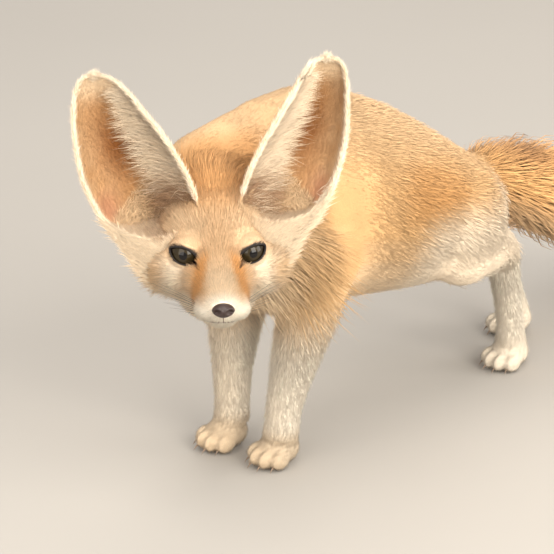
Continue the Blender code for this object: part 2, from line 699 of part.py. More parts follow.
def plant_fringe(name, collection, draw):
    """Long hairs that cross the mouth of an ear from its inner edge."""
    place = head_matrix() @ Matrix.Translation(EAR_SHIFT[name])
    turn = place.to_3x3()
    medial, lateral, back = [smooth_line(EARS[name][key], EDGE_STEPS) for key in ("medial", "lateral", "back")]
    for share in FRINGE_STEPS:
        i = round(share * (EDGE_STEPS - 1))
        along = (medial[i + 3] - medial[i - 3]).normalized()
        across = (lateral[i] - medial[i]).normalized()
        inward = (back[i] - (medial[i] + lateral[i]) / 2).normalized()
        root = place @ (medial[i] + inward * FRINGE_DEPTH)
        start, bend = [turn @ (across * a + along * b + inward * c).normalized()
                       for a, b, c in (FRINGE_START, FRINGE_BEND)]
        add_lock(collection, root, start, bend, turn @ inward, FRINGE_LOCK, draw)


def make_head(skin):
    """Keep the side of the fine skin that is ahead of the first cut."""
    centre, normal, half_size = CUTS[0]
    combine(skin, slab(Vector(centre), normal, half_size), "DIFFERENCE")
    vertices = skin.data.vertices
    best, best_gap = None, 1.0
    for group in islands(skin):
        used = {i for face in group for i in skin.data.polygons[face].vertices}
        gap = min((vertices[i].co - HEAD_AT).length for i in used)
        if gap < best_gap:
            best, best_gap = group, gap
    head = take_island(skin, best, "head")
    bpy.data.objects.remove(skin)
    return head


def eye_matrix(side):
    """The eye's own frame: -Y looks out of the eye."""
    at = Matrix.Translation((side * EYE_AT.x, EYE_AT.y, EYE_AT.z))
    turn = Matrix.Rotation(side * EYE_TURN, 4, "Z") @ Matrix.Rotation(-EYE_LIFT, 4, "X")
    return head_matrix() @ at @ turn


def almond(bm, side, half_length, half_height, depth, tilt):
    """The opening between the lids: an almond drawn out along the way the eye looks."""
    place = eye_matrix(side) @ Matrix.Rotation(side * tilt, 4, "Y")
    outline = []
    for i in range(LID_POINTS):
        a = 2 * math.pi * i / LID_POINTS
        x = half_length * math.cos(a)
        z = half_height * math.sin(a) * (1.0 - LID_CORNER * (x / half_length) ** 2)
        outline.append((x, z))
    rings = []
    for y in (-depth, 0.0):
        rings.append([place @ Vector((x, y, z)) for x, z in outline])
    add_loft(bm, rings)


def fit_eyes(head):
    """Set each eyeball in the head, under a lid that opens in an almond."""
    for name, side in (("eye_left", 1), ("eye_right", -1)):
        place = eye_matrix(side)
        lid = bmesh.new()
        add_ellipsoid(lid, (0, 0, 0), [EYE_R + GAP + LID_THICK] * 3, place, LID_SEGMENTS)
        combine(head, link_mesh("lid", lid), "UNION")
    for name, side in (("eye_left", 1), ("eye_right", -1)):
        place = eye_matrix(side)
        opening = bmesh.new()
        almond(opening, side, *EYE_OPENING, 2 * EYE_R, EYE_TILT)
        combine(head, link_mesh("opening", opening), "DIFFERENCE")
        socket = bmesh.new()
        add_ellipsoid(socket, (0, 0, 0), [EYE_R + GAP] * 3, place, BALL_SEGMENTS)
        combine(head, link_mesh("socket", socket), "DIFFERENCE")
        ball = bmesh.new()
        add_ellipsoid(ball, (0, 0, 0), [EYE_R] * 3, place, BALL_SEGMENTS)
        link_mesh(name, ball)


def make_nose(head):
    """The bare nose pad, set against the muzzle, with its two nostrils."""
    place = head_matrix()
    seat = bmesh.new()
    add_ellipsoid(seat, NOSE_AT, [half + GAP for half in NOSE_SIZE], place, NOSE_SEGMENTS)
    combine(head, link_mesh("seat", seat), "DIFFERENCE")
    pad = bmesh.new()
    add_ellipsoid(pad, NOSE_AT, NOSE_SIZE, place, NOSE_SEGMENTS)
    nose = link_mesh("nose", pad)
    for side in (-1, 1):
        nostril = bmesh.new()
        turned = place @ Matrix.Translation((side * NOSTRIL_AT[0], NOSTRIL_AT[1], NOSTRIL_AT[2]))
        turned = turned @ Matrix.Rotation(side * NOSTRIL_TURN, 4, "Y")
        add_ellipsoid(nostril, (0, 0, 0), NOSTRIL_SIZE, turned, NOSTRIL_SEGMENTS)
        combine(nose, link_mesh("nostril", nostril), "DIFFERENCE")
    return nose


def cut_mouth(head):
    """The line of the mouth, a groove between the lips from corner to corner."""
    place = head_matrix()
    line = [(-x, y, z) for x, y, z in reversed(MOUTH[1:])] + list(MOUTH)
    points = [place @ point for point in smooth_line(line, MOUTH_RINGS)]
    groove = bmesh.new()
    rings = []
    for i, centre in enumerate(points):
        along = (points[min(i + 1, len(points) - 1)] - points[max(i - 1, 0)]).normalized()
        up = (Vector((0, 0, 1)) - along * along.z).normalized()
        share = MOUTH_END if i in (0, len(points) - 1) else 1.0
        rings.append(oval(centre, along.cross(up), up, MOUTH_HALF_DEPTH * share, MOUTH_HALF_HEIGHT * share, 8))
    add_loft(groove, rings)
    combine(head, link_mesh("groove", groove), "DIFFERENCE")


def make_ear(name, head):
    """A thin cup between two edges, deepest along its back, standing on the head."""
    place = head_matrix()
    edges = {}
    for key in ("medial", "lateral", "back"):
        edges[key] = smooth_line(EARS[name][key], EAR_ROWS)
    bm = bmesh.new()
    grid = []
    place = place @ Matrix.Translation(EAR_SHIFT[name])
    for i in range(EAR_ROWS - 1):
        medial, lateral, back = edges["medial"][i], edges["lateral"][i], edges["back"][i]
        middle = (medial + lateral) / 2
        row = []
        for j in range(EAR_COLUMNS):
            a = math.pi * j / (EAR_COLUMNS - 1)
            point = middle + (medial - middle) * math.cos(a) + EAR_CUP * (back - middle) * math.sin(a)
            row.append(bm.verts.new(place @ point))
        grid.append(row)
    for low, high in zip(grid, grid[1:]):
        for j in range(EAR_COLUMNS - 1):
            bm.faces.new((low[j], low[j + 1], high[j + 1], high[j]))
    tip = bm.verts.new(place @ edges["back"][-1])
    for j in range(EAR_COLUMNS - 1):
        bm.faces.new((grid[-1][j], grid[-1][j + 1], tip))
    mesh = bpy.data.meshes.new(name)
    bm.to_mesh(mesh)
    bm.free()
    ear = bpy.data.objects.new(name, mesh)
    MODEL.objects.link(ear)
    wall = ear.modifiers.new("Wall", "SOLIDIFY")
    wall.thickness = EAR_THICK
    wall.offset = 0.0
    wall.use_even_offset = False
    bake_modifiers(ear)
    outward = bmesh.new()
    outward.from_mesh(ear.data)
    bmesh.ops.triangulate(outward, faces=outward.faces)
    bmesh.ops.recalc_face_normals(outward, faces=outward.faces)
    outward.to_mesh(ear.data)
    outward.free()
    for neighbour in (head, bpy.data.objects["neck"], bpy.data.objects["torso"]):
        combine(ear, swollen(neighbour, GAP), "DIFFERENCE")
    return keep_largest(ear)


def settle(pieces):
    """Move the model so that its origin is at the middle of the floor under it."""
    points = [vertex.co for piece in pieces for vertex in piece.data.vertices]
    low = [min(point[i] for point in points) for i in range(3)]
    high = [max(point[i] for point in points) for i in range(3)]
    shift = Matrix.Translation((-(low[0] + high[0]) / 2, -(low[1] + high[1]) / 2, -low[2]))
    for piece in pieces:
        piece.data.transform(shift)


def finish(piece):
    """Weld and shade a piece, and give it its material."""
    weld(piece)
    piece.data.shade_smooth()
    piece.data.materials.clear()
    piece.data.materials.append(make_material(piece.name, *BARE.get(piece.name, COAT)))


def build():
    body_skin, head_skin = make_skins()
    part_body(body_skin)
    cut_thighs()
    head = make_head(head_skin)
    fit_eyes(head)
    make_nose(head)
    cut_mouth(head)
    keep_largest(head)
    head = bpy.data.objects["head"]
    for name in EARS:
        make_ear(name, head)
    grow(head, plant_ruff, RUFF_SEED, [bpy.data.objects[name] for name in ("neck", "torso", *EARS)])
    for name in EARS:
        grow(bpy.data.objects[name], partial(plant_fringe, name), FRINGE_SEED, [])
    grow(bpy.data.objects["tail"], plant_tail, TAIL_SEED, [bpy.data.objects["hips"]])
    pieces = list(MODEL.objects)
    settle(pieces)
    for piece in pieces:
        finish(piece)


clear_scene()
MODEL = make_collection("fennec_fox")
build()
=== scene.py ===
"""A fennec fox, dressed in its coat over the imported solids. It faces -Y, and its left side is +X."""

import json
import math

import bmesh
import bpy
import numpy as np
from bpy.props import FloatProperty, FloatVectorProperty, IntProperty, PointerProperty
from mathutils import Matrix, Vector
from mathutils.kdtree import KDTree

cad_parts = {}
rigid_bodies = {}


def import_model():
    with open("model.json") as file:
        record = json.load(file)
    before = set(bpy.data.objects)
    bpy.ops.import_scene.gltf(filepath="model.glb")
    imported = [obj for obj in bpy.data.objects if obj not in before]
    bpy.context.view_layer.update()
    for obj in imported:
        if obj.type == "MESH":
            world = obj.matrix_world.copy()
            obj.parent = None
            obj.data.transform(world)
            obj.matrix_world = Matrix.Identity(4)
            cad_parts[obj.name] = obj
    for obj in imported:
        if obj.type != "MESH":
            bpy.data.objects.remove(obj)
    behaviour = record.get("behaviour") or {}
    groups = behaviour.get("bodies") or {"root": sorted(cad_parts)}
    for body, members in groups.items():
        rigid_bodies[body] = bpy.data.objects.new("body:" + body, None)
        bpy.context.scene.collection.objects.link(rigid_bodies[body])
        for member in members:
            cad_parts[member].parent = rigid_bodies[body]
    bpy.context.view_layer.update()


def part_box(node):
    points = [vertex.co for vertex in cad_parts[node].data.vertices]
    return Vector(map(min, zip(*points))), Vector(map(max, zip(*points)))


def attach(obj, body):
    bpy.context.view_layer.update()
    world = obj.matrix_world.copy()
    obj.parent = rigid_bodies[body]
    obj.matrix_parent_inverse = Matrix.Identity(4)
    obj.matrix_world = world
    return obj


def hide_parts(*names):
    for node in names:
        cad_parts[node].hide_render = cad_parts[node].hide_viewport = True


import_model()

bl_info = {
    "name": "Fennec fox",
    "version": (1, 0, 0),
    "blender": (4, 5, 0),
    "location": "3D View > Sidebar > Fennec",
    "description": "Skin, coat, eyes and stage of a life-size fennec fox",
    "category": "Add Mesh",
}

BODY = "root"
# Meshes are sorted along this slanted way, so that each run numbers their points alike.
ORDER_WAY = Vector((0.5772, 0.3117, 0.7548))


def middle(node):
    """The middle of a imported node's box."""
    low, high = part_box(node)
    return (low + high) / 2


# The head's own frame: its origin lies midway between the eyes, -Y looks out of the face and +X is its left.
HEAD_YAW = math.radians(50.0)
HEAD_TURN = Matrix.Rotation(HEAD_YAW, 4, "Z")
EYE_AT, EYE_R, EYE_BACK = Vector((0.0172, 0.0030, 0.0)), 0.0088, 0.0006
HEAD_AT = (middle("eye_left") + middle("eye_right")) / 2 - HEAD_TURN @ Vector((0.0, EYE_AT.y, 0.0))
HEAD = Matrix.Translation(HEAD_AT) @ HEAD_TURN
# Places of the body are measured from a point on the floor, which this shift moves to the frame's own origin.
HEAD_PLACE = Vector((0.0393, -0.0624, 0.1566))
SHIFT = HEAD_AT - HEAD_PLACE

# Trunk: y, height of the back, height of the belly, half width.
TRUNK = (
    (-0.030, 0.200, 0.118, 0.024), (-0.012, 0.212, 0.098, 0.036), (0.010, 0.221, 0.090, 0.044),
    (0.042, 0.222, 0.088, 0.049), (0.080, 0.210, 0.083, 0.050), (0.105, 0.199, 0.079, 0.050),
    (0.126, 0.187, 0.075, 0.049), (0.150, 0.172, 0.074, 0.046), (0.175, 0.155, 0.080, 0.040),
    (0.198, 0.139, 0.098, 0.028),
)
# Limbs, from the body outwards: centre, half width, half depth.
NECK = (
    ((-0.002, 0.020, 0.160), 0.038, 0.054), ((-0.010, -0.006, 0.166), 0.034, 0.049),
    ((-0.010, -0.026, 0.167), 0.031, 0.041), ((0.004, -0.042, 0.162), 0.029, 0.031),
)
FORELEGS = (
    (((0.0300, 0.0300, 0.150), 0.0200, 0.0340), ((0.0290, 0.0280, 0.122), 0.0200, 0.0300),
     ((0.0250, 0.0240, 0.098), 0.0175, 0.0220), ((0.0215, 0.0195, 0.075), 0.0150, 0.0170),
     ((0.0185, 0.0140, 0.050), 0.0125, 0.0135), ((0.0165, 0.0115, 0.034), 0.0115, 0.0122),
     ((0.0158, 0.0092, 0.016), 0.0112, 0.0115)),
    (((-0.0300, 0.0300, 0.150), 0.0200, 0.0340), ((-0.0290, 0.0260, 0.122), 0.0200, 0.0300),
     ((-0.0270, 0.0180, 0.098), 0.0175, 0.0220), ((-0.0250, 0.0120, 0.075), 0.0150, 0.0170),
     ((-0.0235, 0.0085, 0.050), 0.0125, 0.0135), ((-0.0228, 0.0075, 0.034), 0.0115, 0.0122),
     ((-0.0228, 0.0070, 0.016), 0.0112, 0.0115)),
)
HINDLEGS = (
    (((0.020, 0.165, 0.135), 0.020, 0.032), ((0.029, 0.155, 0.125), 0.023, 0.034),
     ((0.034, 0.147, 0.112), 0.021, 0.028), ((0.035, 0.140, 0.100), 0.018, 0.021)),
    (((0.035, 0.138, 0.103), 0.0180, 0.0210), ((0.034, 0.155, 0.101), 0.0185, 0.0220),
     ((0.030, 0.175, 0.096), 0.0165, 0.0185), ((0.025, 0.192, 0.090), 0.0130, 0.0150),
     ((0.0215, 0.203, 0.083), 0.0105, 0.0125)),
    (((0.0212, 0.2000, 0.088), 0.0100, 0.0125), ((0.0205, 0.2050, 0.070), 0.0095, 0.0115),
     ((0.0190, 0.2105, 0.050), 0.0090, 0.0102), ((0.0176, 0.2158, 0.031), 0.0095, 0.0104),
     ((0.0165, 0.2190, 0.014), 0.0105, 0.0112)),
    (((-0.020, 0.165, 0.135), 0.020, 0.032), ((-0.029, 0.162, 0.124), 0.023, 0.034),
     ((-0.034, 0.162, 0.112), 0.021, 0.029), ((-0.036, 0.162, 0.101), 0.018, 0.022)),
    (((-0.036, 0.161, 0.103), 0.0180, 0.0210), ((-0.0350, 0.184, 0.096), 0.0180, 0.0200),
     ((-0.0310, 0.208, 0.088), 0.0150, 0.0160), ((-0.0265, 0.230, 0.079), 0.0115, 0.0130),
     ((-0.0242, 0.244, 0.072), 0.0098, 0.0112)),
    (((-0.0242, 0.2430, 0.076), 0.0092, 0.0112), ((-0.0235, 0.2495, 0.060), 0.0090, 0.0108),
     ((-0.0222, 0.2565, 0.044), 0.0090, 0.0102), ((-0.0210, 0.2620, 0.029), 0.0095, 0.0104),
     ((-0.0200, 0.2655, 0.014), 0.0105, 0.0112)),
)
# Knees and hocks, which round off where the limbs meet: centre and half sizes.
JOINTS = (
    ((0.0345, 0.1470, 0.0985), (0.0195, 0.0225, 0.0195)), ((0.0213, 0.2020, 0.0850), (0.0108, 0.0125, 0.0120)),
    ((-0.0355, 0.1710, 0.0985), (0.0190, 0.0230, 0.0195)), ((-0.0242, 0.2440, 0.0735), (0.0100, 0.0118, 0.0110)),
)
# Paws: where the middle of the sole stands, and how far the toes turn out, in degrees.
PAWS = ((0.0145, 0.0065, 0.0), (-0.0240, 0.0010, -6.0), (0.0163, 0.2155, 0.0), (-0.0198, 0.2620, 0.0))
PALM_AT, PALM_SIZE = (0.0, 0.0030, 0.0096), (0.0122, 0.0135, 0.0106)
TOES, TOE_SIZE, TOE_HEIGHT = ((0.0037, -0.0104), (0.0103, -0.0058)), (0.0040, 0.0076, 0.0062), 0.0066
# Tail: centre and radius of the coat, from its root to its tip.
TAIL = (
    ((0.000, 0.178, 0.134), 0.016), ((0.000, 0.196, 0.130), 0.019), ((0.000, 0.215, 0.124), 0.022),
    ((0.001, 0.246, 0.112), 0.027), ((0.003, 0.280, 0.097), 0.032), ((0.005, 0.315, 0.080), 0.034),
    ((0.007, 0.348, 0.064), 0.031), ((0.009, 0.376, 0.053), 0.025), ((0.011, 0.402, 0.046), 0.015),
    ((0.012, 0.418, 0.043), 0.004),
)
TAIL_CORE = (0.95, 0.80, 0.66, 0.52)
CORE = 0.42
# Head, in its own frame: y, centre height, half width, half height.
FACE = (
    (-0.0425, -0.0178, 0.0070, 0.0050), (-0.0390, -0.0178, 0.0108, 0.0074), (-0.0330, -0.0180, 0.0140, 0.0092),
    (-0.0250, -0.0175, 0.0150, 0.0112), (-0.0160, -0.0165, 0.0165, 0.0138), (-0.0070, -0.0130, 0.0205, 0.0182),
    (0.0030, -0.0085, 0.0265, 0.0235), (0.0150, -0.0050, 0.0325, 0.0300), (0.0280, -0.0030, 0.0330, 0.0325),
    (0.0400, -0.0020, 0.0290, 0.0300), (0.0480, -0.0010, 0.0230, 0.0250),
)
JAW = (
    (-0.0365, -0.0250, 0.0055, 0.0035), (-0.0300, -0.0262, 0.0085, 0.0050), (-0.0180, -0.0278, 0.0120, 0.0065),
    (-0.0020, -0.0290, 0.0185, 0.0085), (0.0140, -0.0260, 0.0240, 0.0110),
)
CHEEK_AT, CHEEK_SIZE = (0.0200, 0.0200, -0.0120), (0.0215, 0.0270, 0.0190)
BROW_AT, BROW_SIZE = (0.0150, 0.0060, 0.0060), (0.0100, 0.0090, 0.0055)
NAPE_AT, NAPE_SIZE = (0.0, 0.0480, 0.0110), (0.0250, 0.0300, 0.0300)
PAD_AT, PAD_SIZE = (0.0075, -0.0325, -0.0190), (0.0078, 0.0095, 0.0062)
EYE_TURN, EYE_LIFT, EYE_TILT = math.radians(13.0), math.radians(8.0), math.radians(-20.0)
EYE_OPENING, LID_THICK, LID_GAP, DUCT_LENGTH = (0.0086, 0.0047), 0.0008, 0.0002, 0.0062
NOSE_AT, NOSE_SIZE = Vector((0.0, -0.0432, -0.0160)), (0.0062, 0.0044, 0.0039)
NOSTRIL_AT, NOSTRIL_SIZE, NOSTRIL_DEPTH = Vector((0.0034, -0.0030, 0.0002)), (0.0014, 0.0011), 0.0021
# The slit beside each nostril, and the wing that stands up round it.
SLIT_AT, SLIT_SIZE, SLIT_DEPTH, WING_HEIGHT = (0.0050, -0.0006), (0.0014, 0.00055), 0.0011, 0.0004
CORNEA_HEIGHT, CORNEA_R, RIM_LIFT = 0.0004, 0.0062, 0.0006
CLAW_R, CLAW_START, CLAW_LENGTH, CLAW_TOP, CLAW_DROP = 0.00055, 0.0062, 0.0028, 0.0042, 0.0026
WHISKER_R, WHISKER_LENGTH, WHISKER_ROWS = 0.00013, 0.019, 4
MOUTH = (
    (0.0, -0.0405, -0.0238), (0.0040, -0.0385, -0.0245), (0.0085, -0.0340, -0.0251),
    (0.0125, -0.0270, -0.0248), (0.0150, -0.0190, -0.0235),
)
# Ears in the head's frame: inner edge, outer edge and the deepest line of the cup, from the head to the tip.
EARS = {
    "ear_right": {
        "shift": (0.0060, 0.0, -0.0112),
        "medial": ((-0.0100, 0.0180, 0.0100), (-0.0125, 0.0160, 0.0260), (-0.0198, 0.0130, 0.0504),
                   (-0.0316, 0.0120, 0.0729), (-0.0431, 0.0130, 0.0888), (-0.0535, 0.0150, 0.1018),
                   (-0.0618, 0.0180, 0.1072), (-0.0705, 0.0200, 0.1086)),
        "lateral": ((-0.0380, 0.0120, -0.0150), (-0.0480, 0.0100, -0.0043), (-0.0557, 0.0090, 0.0087),
                    (-0.0643, 0.0100, 0.0211), (-0.0723, 0.0110, 0.0340), (-0.0786, 0.0130, 0.0490),
                    (-0.0818, 0.0150, 0.0651), (-0.0832, 0.0170, 0.0829), (-0.0820, 0.0190, 0.0970),
                    (-0.0780, 0.0200, 0.1056), (-0.0705, 0.0200, 0.1086)),
        "back": ((-0.0300, 0.0440, -0.0020), (-0.0380, 0.0440, 0.0180), (-0.0470, 0.0410, 0.0390),
                 (-0.0560, 0.0360, 0.0610), (-0.0640, 0.0300, 0.0830), (-0.0690, 0.0250, 0.0990),
                 (-0.0705, 0.0200, 0.1086)),
    },
    "ear_left": {
        "shift": (-0.0040, 0.0, -0.0104),
        "medial": ((0.0120, 0.0180, 0.0120), (0.0153, 0.0150, 0.0289), (0.0201, 0.0110, 0.0500),
                   (0.0286, 0.0090, 0.0690), (0.0373, 0.0090, 0.0841), (0.0451, 0.0110, 0.0967),
                   (0.0504, 0.0140, 0.1052), (0.0568, 0.0180, 0.1122), (0.0655, 0.0230, 0.1136)),
        "lateral": ((0.0380, 0.0150, -0.0120), (0.0460, 0.0140, 0.0010), (0.0531, 0.0150, 0.0145),
                    (0.0591, 0.0170, 0.0202), (0.0646, 0.0200, 0.0280), (0.0702, 0.0230, 0.0391),
                    (0.0747, 0.0260, 0.0514), (0.0778, 0.0280, 0.0660), (0.0785, 0.0290, 0.0810),
                    (0.0778, 0.0280, 0.0975), (0.0741, 0.0260, 0.1092), (0.0655, 0.0230, 0.1136)),
        "back": ((0.0320, 0.0290, -0.0010), (0.0400, 0.0340, 0.0180), (0.0460, 0.0400, 0.0390),
                 (0.0520, 0.0450, 0.0610), (0.0590, 0.0400, 0.0830), (0.0640, 0.0320, 0.1010),
                 (0.0655, 0.0230, 0.1136)),
    },
}
EAR_CUP, EAR_WALL, EAR_DIP = 0.85, 0.0010, 0.105
EAR_ROWS, EAR_COLUMNS = 64, 40
BASE_ROWS, BASE_COLUMNS, BASE_REACH = 36, 28, 1.4
# Unwraps of an ear and of its base: the free edge, and the size along and across.
UV_EDGE, EAR_UV, BASE_UV = 0.02, (0.96, 0.45), (0.65, 0.96)

FLESH = ("torso", "neck", "hips", "thigh_left", "thigh_right", "foreleg_left", "foreleg_right", "forepaw_left",
         "forepaw_right", "metatarsus_left", "metatarsus_right", "hindpaw_left", "hindpaw_right", "head", "tail")
COAT_DEPTH = {"body": 0.0036, "crown": 0.0016, "muzzle": 0.0006, "legs": 0.0017, "paws": 0.0008}
SKIN_VOXEL, SKIN_KEPT = 0.0011, 0.40
COAT_TRIANGLES, PATCH, FLOOR_GAP = 196000, 0.003, 0.0002


def linear(*parts):
    """A colour picked on the screen's scale of 0 to 255, as Blender's own linear values."""
    return tuple((part / 255.0 / 12.92) if part < 11 else ((part / 255.0 + 0.055) / 1.055) ** 2.4 for part in parts)


COAT = {name: np.array(linear(*parts)) for name, parts in {
    # The back colour is a lighter sand that paints a highlight along the top of the back.
    "sand": (234, 187, 131), "back": (243, 202, 154), "orange": (226, 160, 90), "cream": (242, 214, 178),
    "white": (250, 237, 217), "brown": (150, 104, 66), "dark": (84, 60, 44), "black": (34, 26, 23),
    # The last, a dark orange, is the ear's own colour darkened further as painted shade in the hollow of the cup.
    "rose": (196, 134, 106), "peach": (190, 144, 98), "shaded_rust": (136, 78, 30),
}.items()}
# The way, in the head's frame, that hair in the ears is lit from.
LIT_WAY = np.array([0.1, -0.9, 0.5])
# A tuft's width at the start of each section, as a share of its widest.
TUFT_SHAPE = (0.75, 1.0, 0.66)
# How many tufts grow on each part of an ear, and how long they are.
EAR_TUFTS = {"inner": 7500, "outer": 6500, "rim": 7200, "fringe": 5600, "tangle": 4200, "base": 5600}
EAR_HAIR = {"inner": 0.0034, "outer": 0.0040, "rim": 0.0043, "fringe": 0.0158, "tangle": 0.0085, "base": 0.0048}

# Lamps: name, place, size, power and colour. They aim at LIT_PLACE.
LAMPS = (
    ("key", (1.75, -0.40, 1.05), 1.3, 44.0, (1.0, 0.94, 0.84)),
    ("fill", (0.30, -1.95, 0.95), 1.6, 22.0, (1.0, 0.95, 0.88)),
    ("top", (0.35, -0.75, 1.95), 1.2, 22.0, (1.0, 0.95, 0.88)),
    ("side", (1.45, 1.10, 0.75), 1.2, 19.0, (1.0, 0.95, 0.88)),
    ("back", (-0.90, 1.35, 1.70), 1.1, 14.0, (1.0, 0.93, 0.84)),
)
LIT_PLACE = Vector((0.0, -0.06, 0.13))
SKY_COLOUR, SKY_STRENGTH = (1.0, 0.96, 0.91, 1.0), 0.73
CAMERA_AIM, CAMERA_WAY = Vector((-0.0080, 0.0305, 0.1051)), Vector((-0.6601, 0.6601, -0.3584))
SENSOR, FLOOR_HALF = 36.0, 12.0


# Sizes and colours that a user may change.

class FennecCoat(bpy.types.PropertyGroup):
    body_length: FloatProperty(name="Body hair", description="Length of the hair on the back and flanks",
                               default=0.0104, min=0.004, max=0.03, unit="LENGTH")
    face_length: FloatProperty(name="Face hair", description="Length of the hair on the forehead",
                               default=0.0062, min=0.001, max=0.01, unit="LENGTH")
    tail_length: FloatProperty(name="Tail hair", description="Length of the hair in the middle of the tail",
                               default=0.034, min=0.01, max=0.05, unit="LENGTH")
    body_tufts: IntProperty(name="Body tufts", description="How many long tufts grow on the body", default=36000,
                            min=1000)
    under_tufts: IntProperty(name="Undercoat", description="How many short tufts grow under them", default=68000,
                             min=1000)
    face_tufts: IntProperty(name="Face tufts", description="How many tufts grow on the head", default=48500, min=1000)
    leg_tufts: IntProperty(name="Leg tufts", description="How many tufts grow on the legs", default=34000, min=1000)
    tail_tufts: IntProperty(name="Tail tufts", description="How many tufts grow on the tail", default=9500, min=100)
    lift: FloatProperty(name="Lift", description="How far a tuft stands off the skin at its root",
                        default=math.radians(21.0), subtype="ANGLE", unit="ROTATION")


class FennecEyes(bpy.types.PropertyGroup):
    iris: FloatVectorProperty(name="Iris", description="Colour of the iris", subtype="COLOR", size=3,
                              default=linear(48, 39, 22), min=0.0, max=1.0)
    pupil: FloatProperty(name="Pupil", description="Radius of the pupil", default=0.0021, unit="LENGTH")
    rim: FloatProperty(name="Lid rim", description="Half width of the dark rim of the lids", default=0.00040,
                       unit="LENGTH")


class FennecNose(bpy.types.PropertyGroup):
    colour: FloatVectorProperty(name="Nose", description="Colour of the bare nose", subtype="COLOR", size=3,
                                default=linear(46, 30, 26), min=0.0, max=1.0)
    whiskers: IntProperty(name="Whiskers", description="Whiskers on each side", default=12, min=0, max=40)


class FennecStage(bpy.types.PropertyGroup):
    distance: FloatProperty(name="Camera distance", description="From the camera to the fox", default=1.488,
                            unit="LENGTH")
    lens: FloatProperty(name="Lens", description="Focal length of the camera", default=164.3, unit="CAMERA")
    floor: FloatVectorProperty(name="Floor", description="Colour of the floor", subtype="COLOR", size=3,
                               default=(0.39, 0.37, 0.345), min=0.0, max=1.0)


# Numbers

def ramp(value, low, high):
    """Rises smoothly from 0 at low to 1 at high."""
    share = np.clip((value - low) / (high - low), 0.0, 1.0)
    return share * share * (3.0 - 2.0 * share)


def blend(first, second, share):
    """From first at 0 to second at 1."""
    return first + (second - first) * share


def unit(vectors):
    """The vectors at length 1."""
    return vectors / np.maximum(np.linalg.norm(vectors, axis=-1, keepdims=True), 1e-9)


def cloud(points, size, seed=0):
    """Smooth random values from 0 to 1 over space, with lumps of a size."""
    scaled = points / size + 100.0 + seed * 17.3
    cell = np.floor(scaled).astype(np.int64)
    inside = scaled - cell
    inside = inside * inside * (3.0 - 2.0 * inside)
    total = np.zeros(len(points))
    for corner in range(8):
        step = np.array([(corner >> axis) & 1 for axis in range(3)])
        key = (cell + step) @ np.array([73856093, 19349663, 83492791])
        value = ((key ^ (key >> 13)) * 1274126177 % 65536) / 65535.0
        weight = np.prod(np.where(step == 1, inside, 1.0 - inside), axis=1)
        total += value * weight
    return total


def smooth_line(points, count):
    """A smooth curve through the points, read at even steps of its length."""
    points = np.array(points, float)
    ends = np.vstack([2 * points[0] - points[1], points, 2 * points[-1] - points[-2]])
    fine = []
    for a, b, c, d in zip(ends, ends[1:], ends[2:], ends[3:]):
        for t in np.arange(12) / 12:
            fine.append(0.5 * (2 * b + (c - a) * t + (2 * a - 5 * b + 4 * c - d) * t ** 2
                               + (3 * b - a - 3 * c + d) * t ** 3))
    fine = np.array(fine + [points[-1]])
    lengths = np.concatenate([[0.0], np.cumsum(np.linalg.norm(np.diff(fine, axis=0), axis=1))])
    wanted = np.linspace(0.0, lengths[-1], count)
    return np.stack([np.interp(wanted, lengths, fine[:, axis]) for axis in range(fine.shape[1])], axis=1)


def body_places(points):
    """World points, measured as the body's own places are."""
    return points - np.array(SHIFT)


def head_places(points):
    """World points in the head's frame."""
    return (points - np.array(HEAD_AT)) @ np.array(HEAD_TURN.to_3x3())


def head_ways(ways):
    """Directions in the head's frame, turned to the world."""
    return ways @ np.array(HEAD_TURN.to_3x3()).T


# Mesh work

def put(name, data):
    """A new object in the scene."""
    thing = bpy.data.objects.new(name, data)
    bpy.context.scene.collection.objects.link(thing)
    return thing


def new_piece(name, mesh, replaced=(), material=None):
    """A mesh as a piece of the fox that rides on its body."""
    piece = put(name, mesh)
    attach(piece, BODY)
    if replaced:
        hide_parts(*replaced)
    if material:
        piece.data.materials.append(material)
    return piece


def plain_mesh(name, bm):
    """A mesh from a bmesh, as it is."""
    mesh = bpy.data.meshes.new(name)
    bm.to_mesh(mesh)
    bm.free()
    return mesh


def mesh_from(name, bm, smooth=True):
    """A mesh from a bmesh, with its faces outwards, and its points and faces in an order that their places set."""
    bmesh.ops.recalc_face_normals(bm, faces=bm.faces)
    bm.verts.sort(key=lambda vert: vert.co.dot(ORDER_WAY))
    bm.verts.index_update()
    bm.faces.sort(key=lambda face: (min(vert.index for vert in face.verts) * 1e7
                                    + sum(vert.index for vert in face.verts)))
    mesh = plain_mesh(name, bm)
    if smooth:
        mesh.shade_smooth()
    return mesh


def with_modifiers(mesh, *settings, weights=None):
    """The mesh that a row of modifiers makes, each given as its kind and its values, and weights for its group."""
    thing = put("work", mesh)
    if weights is not None:
        group = thing.vertex_groups.new(name="part")
        for level in range(1, 11):
            chosen = np.nonzero(np.round(weights * 10) == level)[0]
            group.add(chosen.tolist(), level / 10, "REPLACE")
    for kind, values in settings:
        modifier = thing.modifiers.new(kind, kind)
        for key, value in values.items():
            setattr(modifier, key, value)
    bpy.context.view_layer.update()
    made = bpy.data.meshes.new_from_object(thing.evaluated_get(bpy.context.evaluated_depsgraph_get()))
    bpy.data.objects.remove(thing)
    return made


def combine(mesh, others, operation="DIFFERENCE"):
    """Take closed bmeshes out of a closed mesh, or join them to it."""
    things = [put("work", mesh_from("work", other)) for other in others]
    settings = [("BOOLEAN", {"object": thing, "operation": operation, "solver": "MANIFOLD"}) for thing in things]
    made = with_modifiers(mesh, *settings)
    for thing in things:
        bpy.data.objects.remove(thing)
    return made


def read(mesh, what="co"):
    """A mesh's points, or their normals, as an array."""
    values = np.empty(len(mesh.vertices) * 3, np.float32)
    if what == "co":
        mesh.vertices.foreach_get("co", values)
    else:
        mesh.vertex_normals.foreach_get("vector", values)
    return values.reshape(-1, 3).astype(float)


def write(mesh, points):
    """Move a mesh's points."""
    mesh.vertices.foreach_set("co", np.ascontiguousarray(points, np.float32).ravel())
    mesh.update()


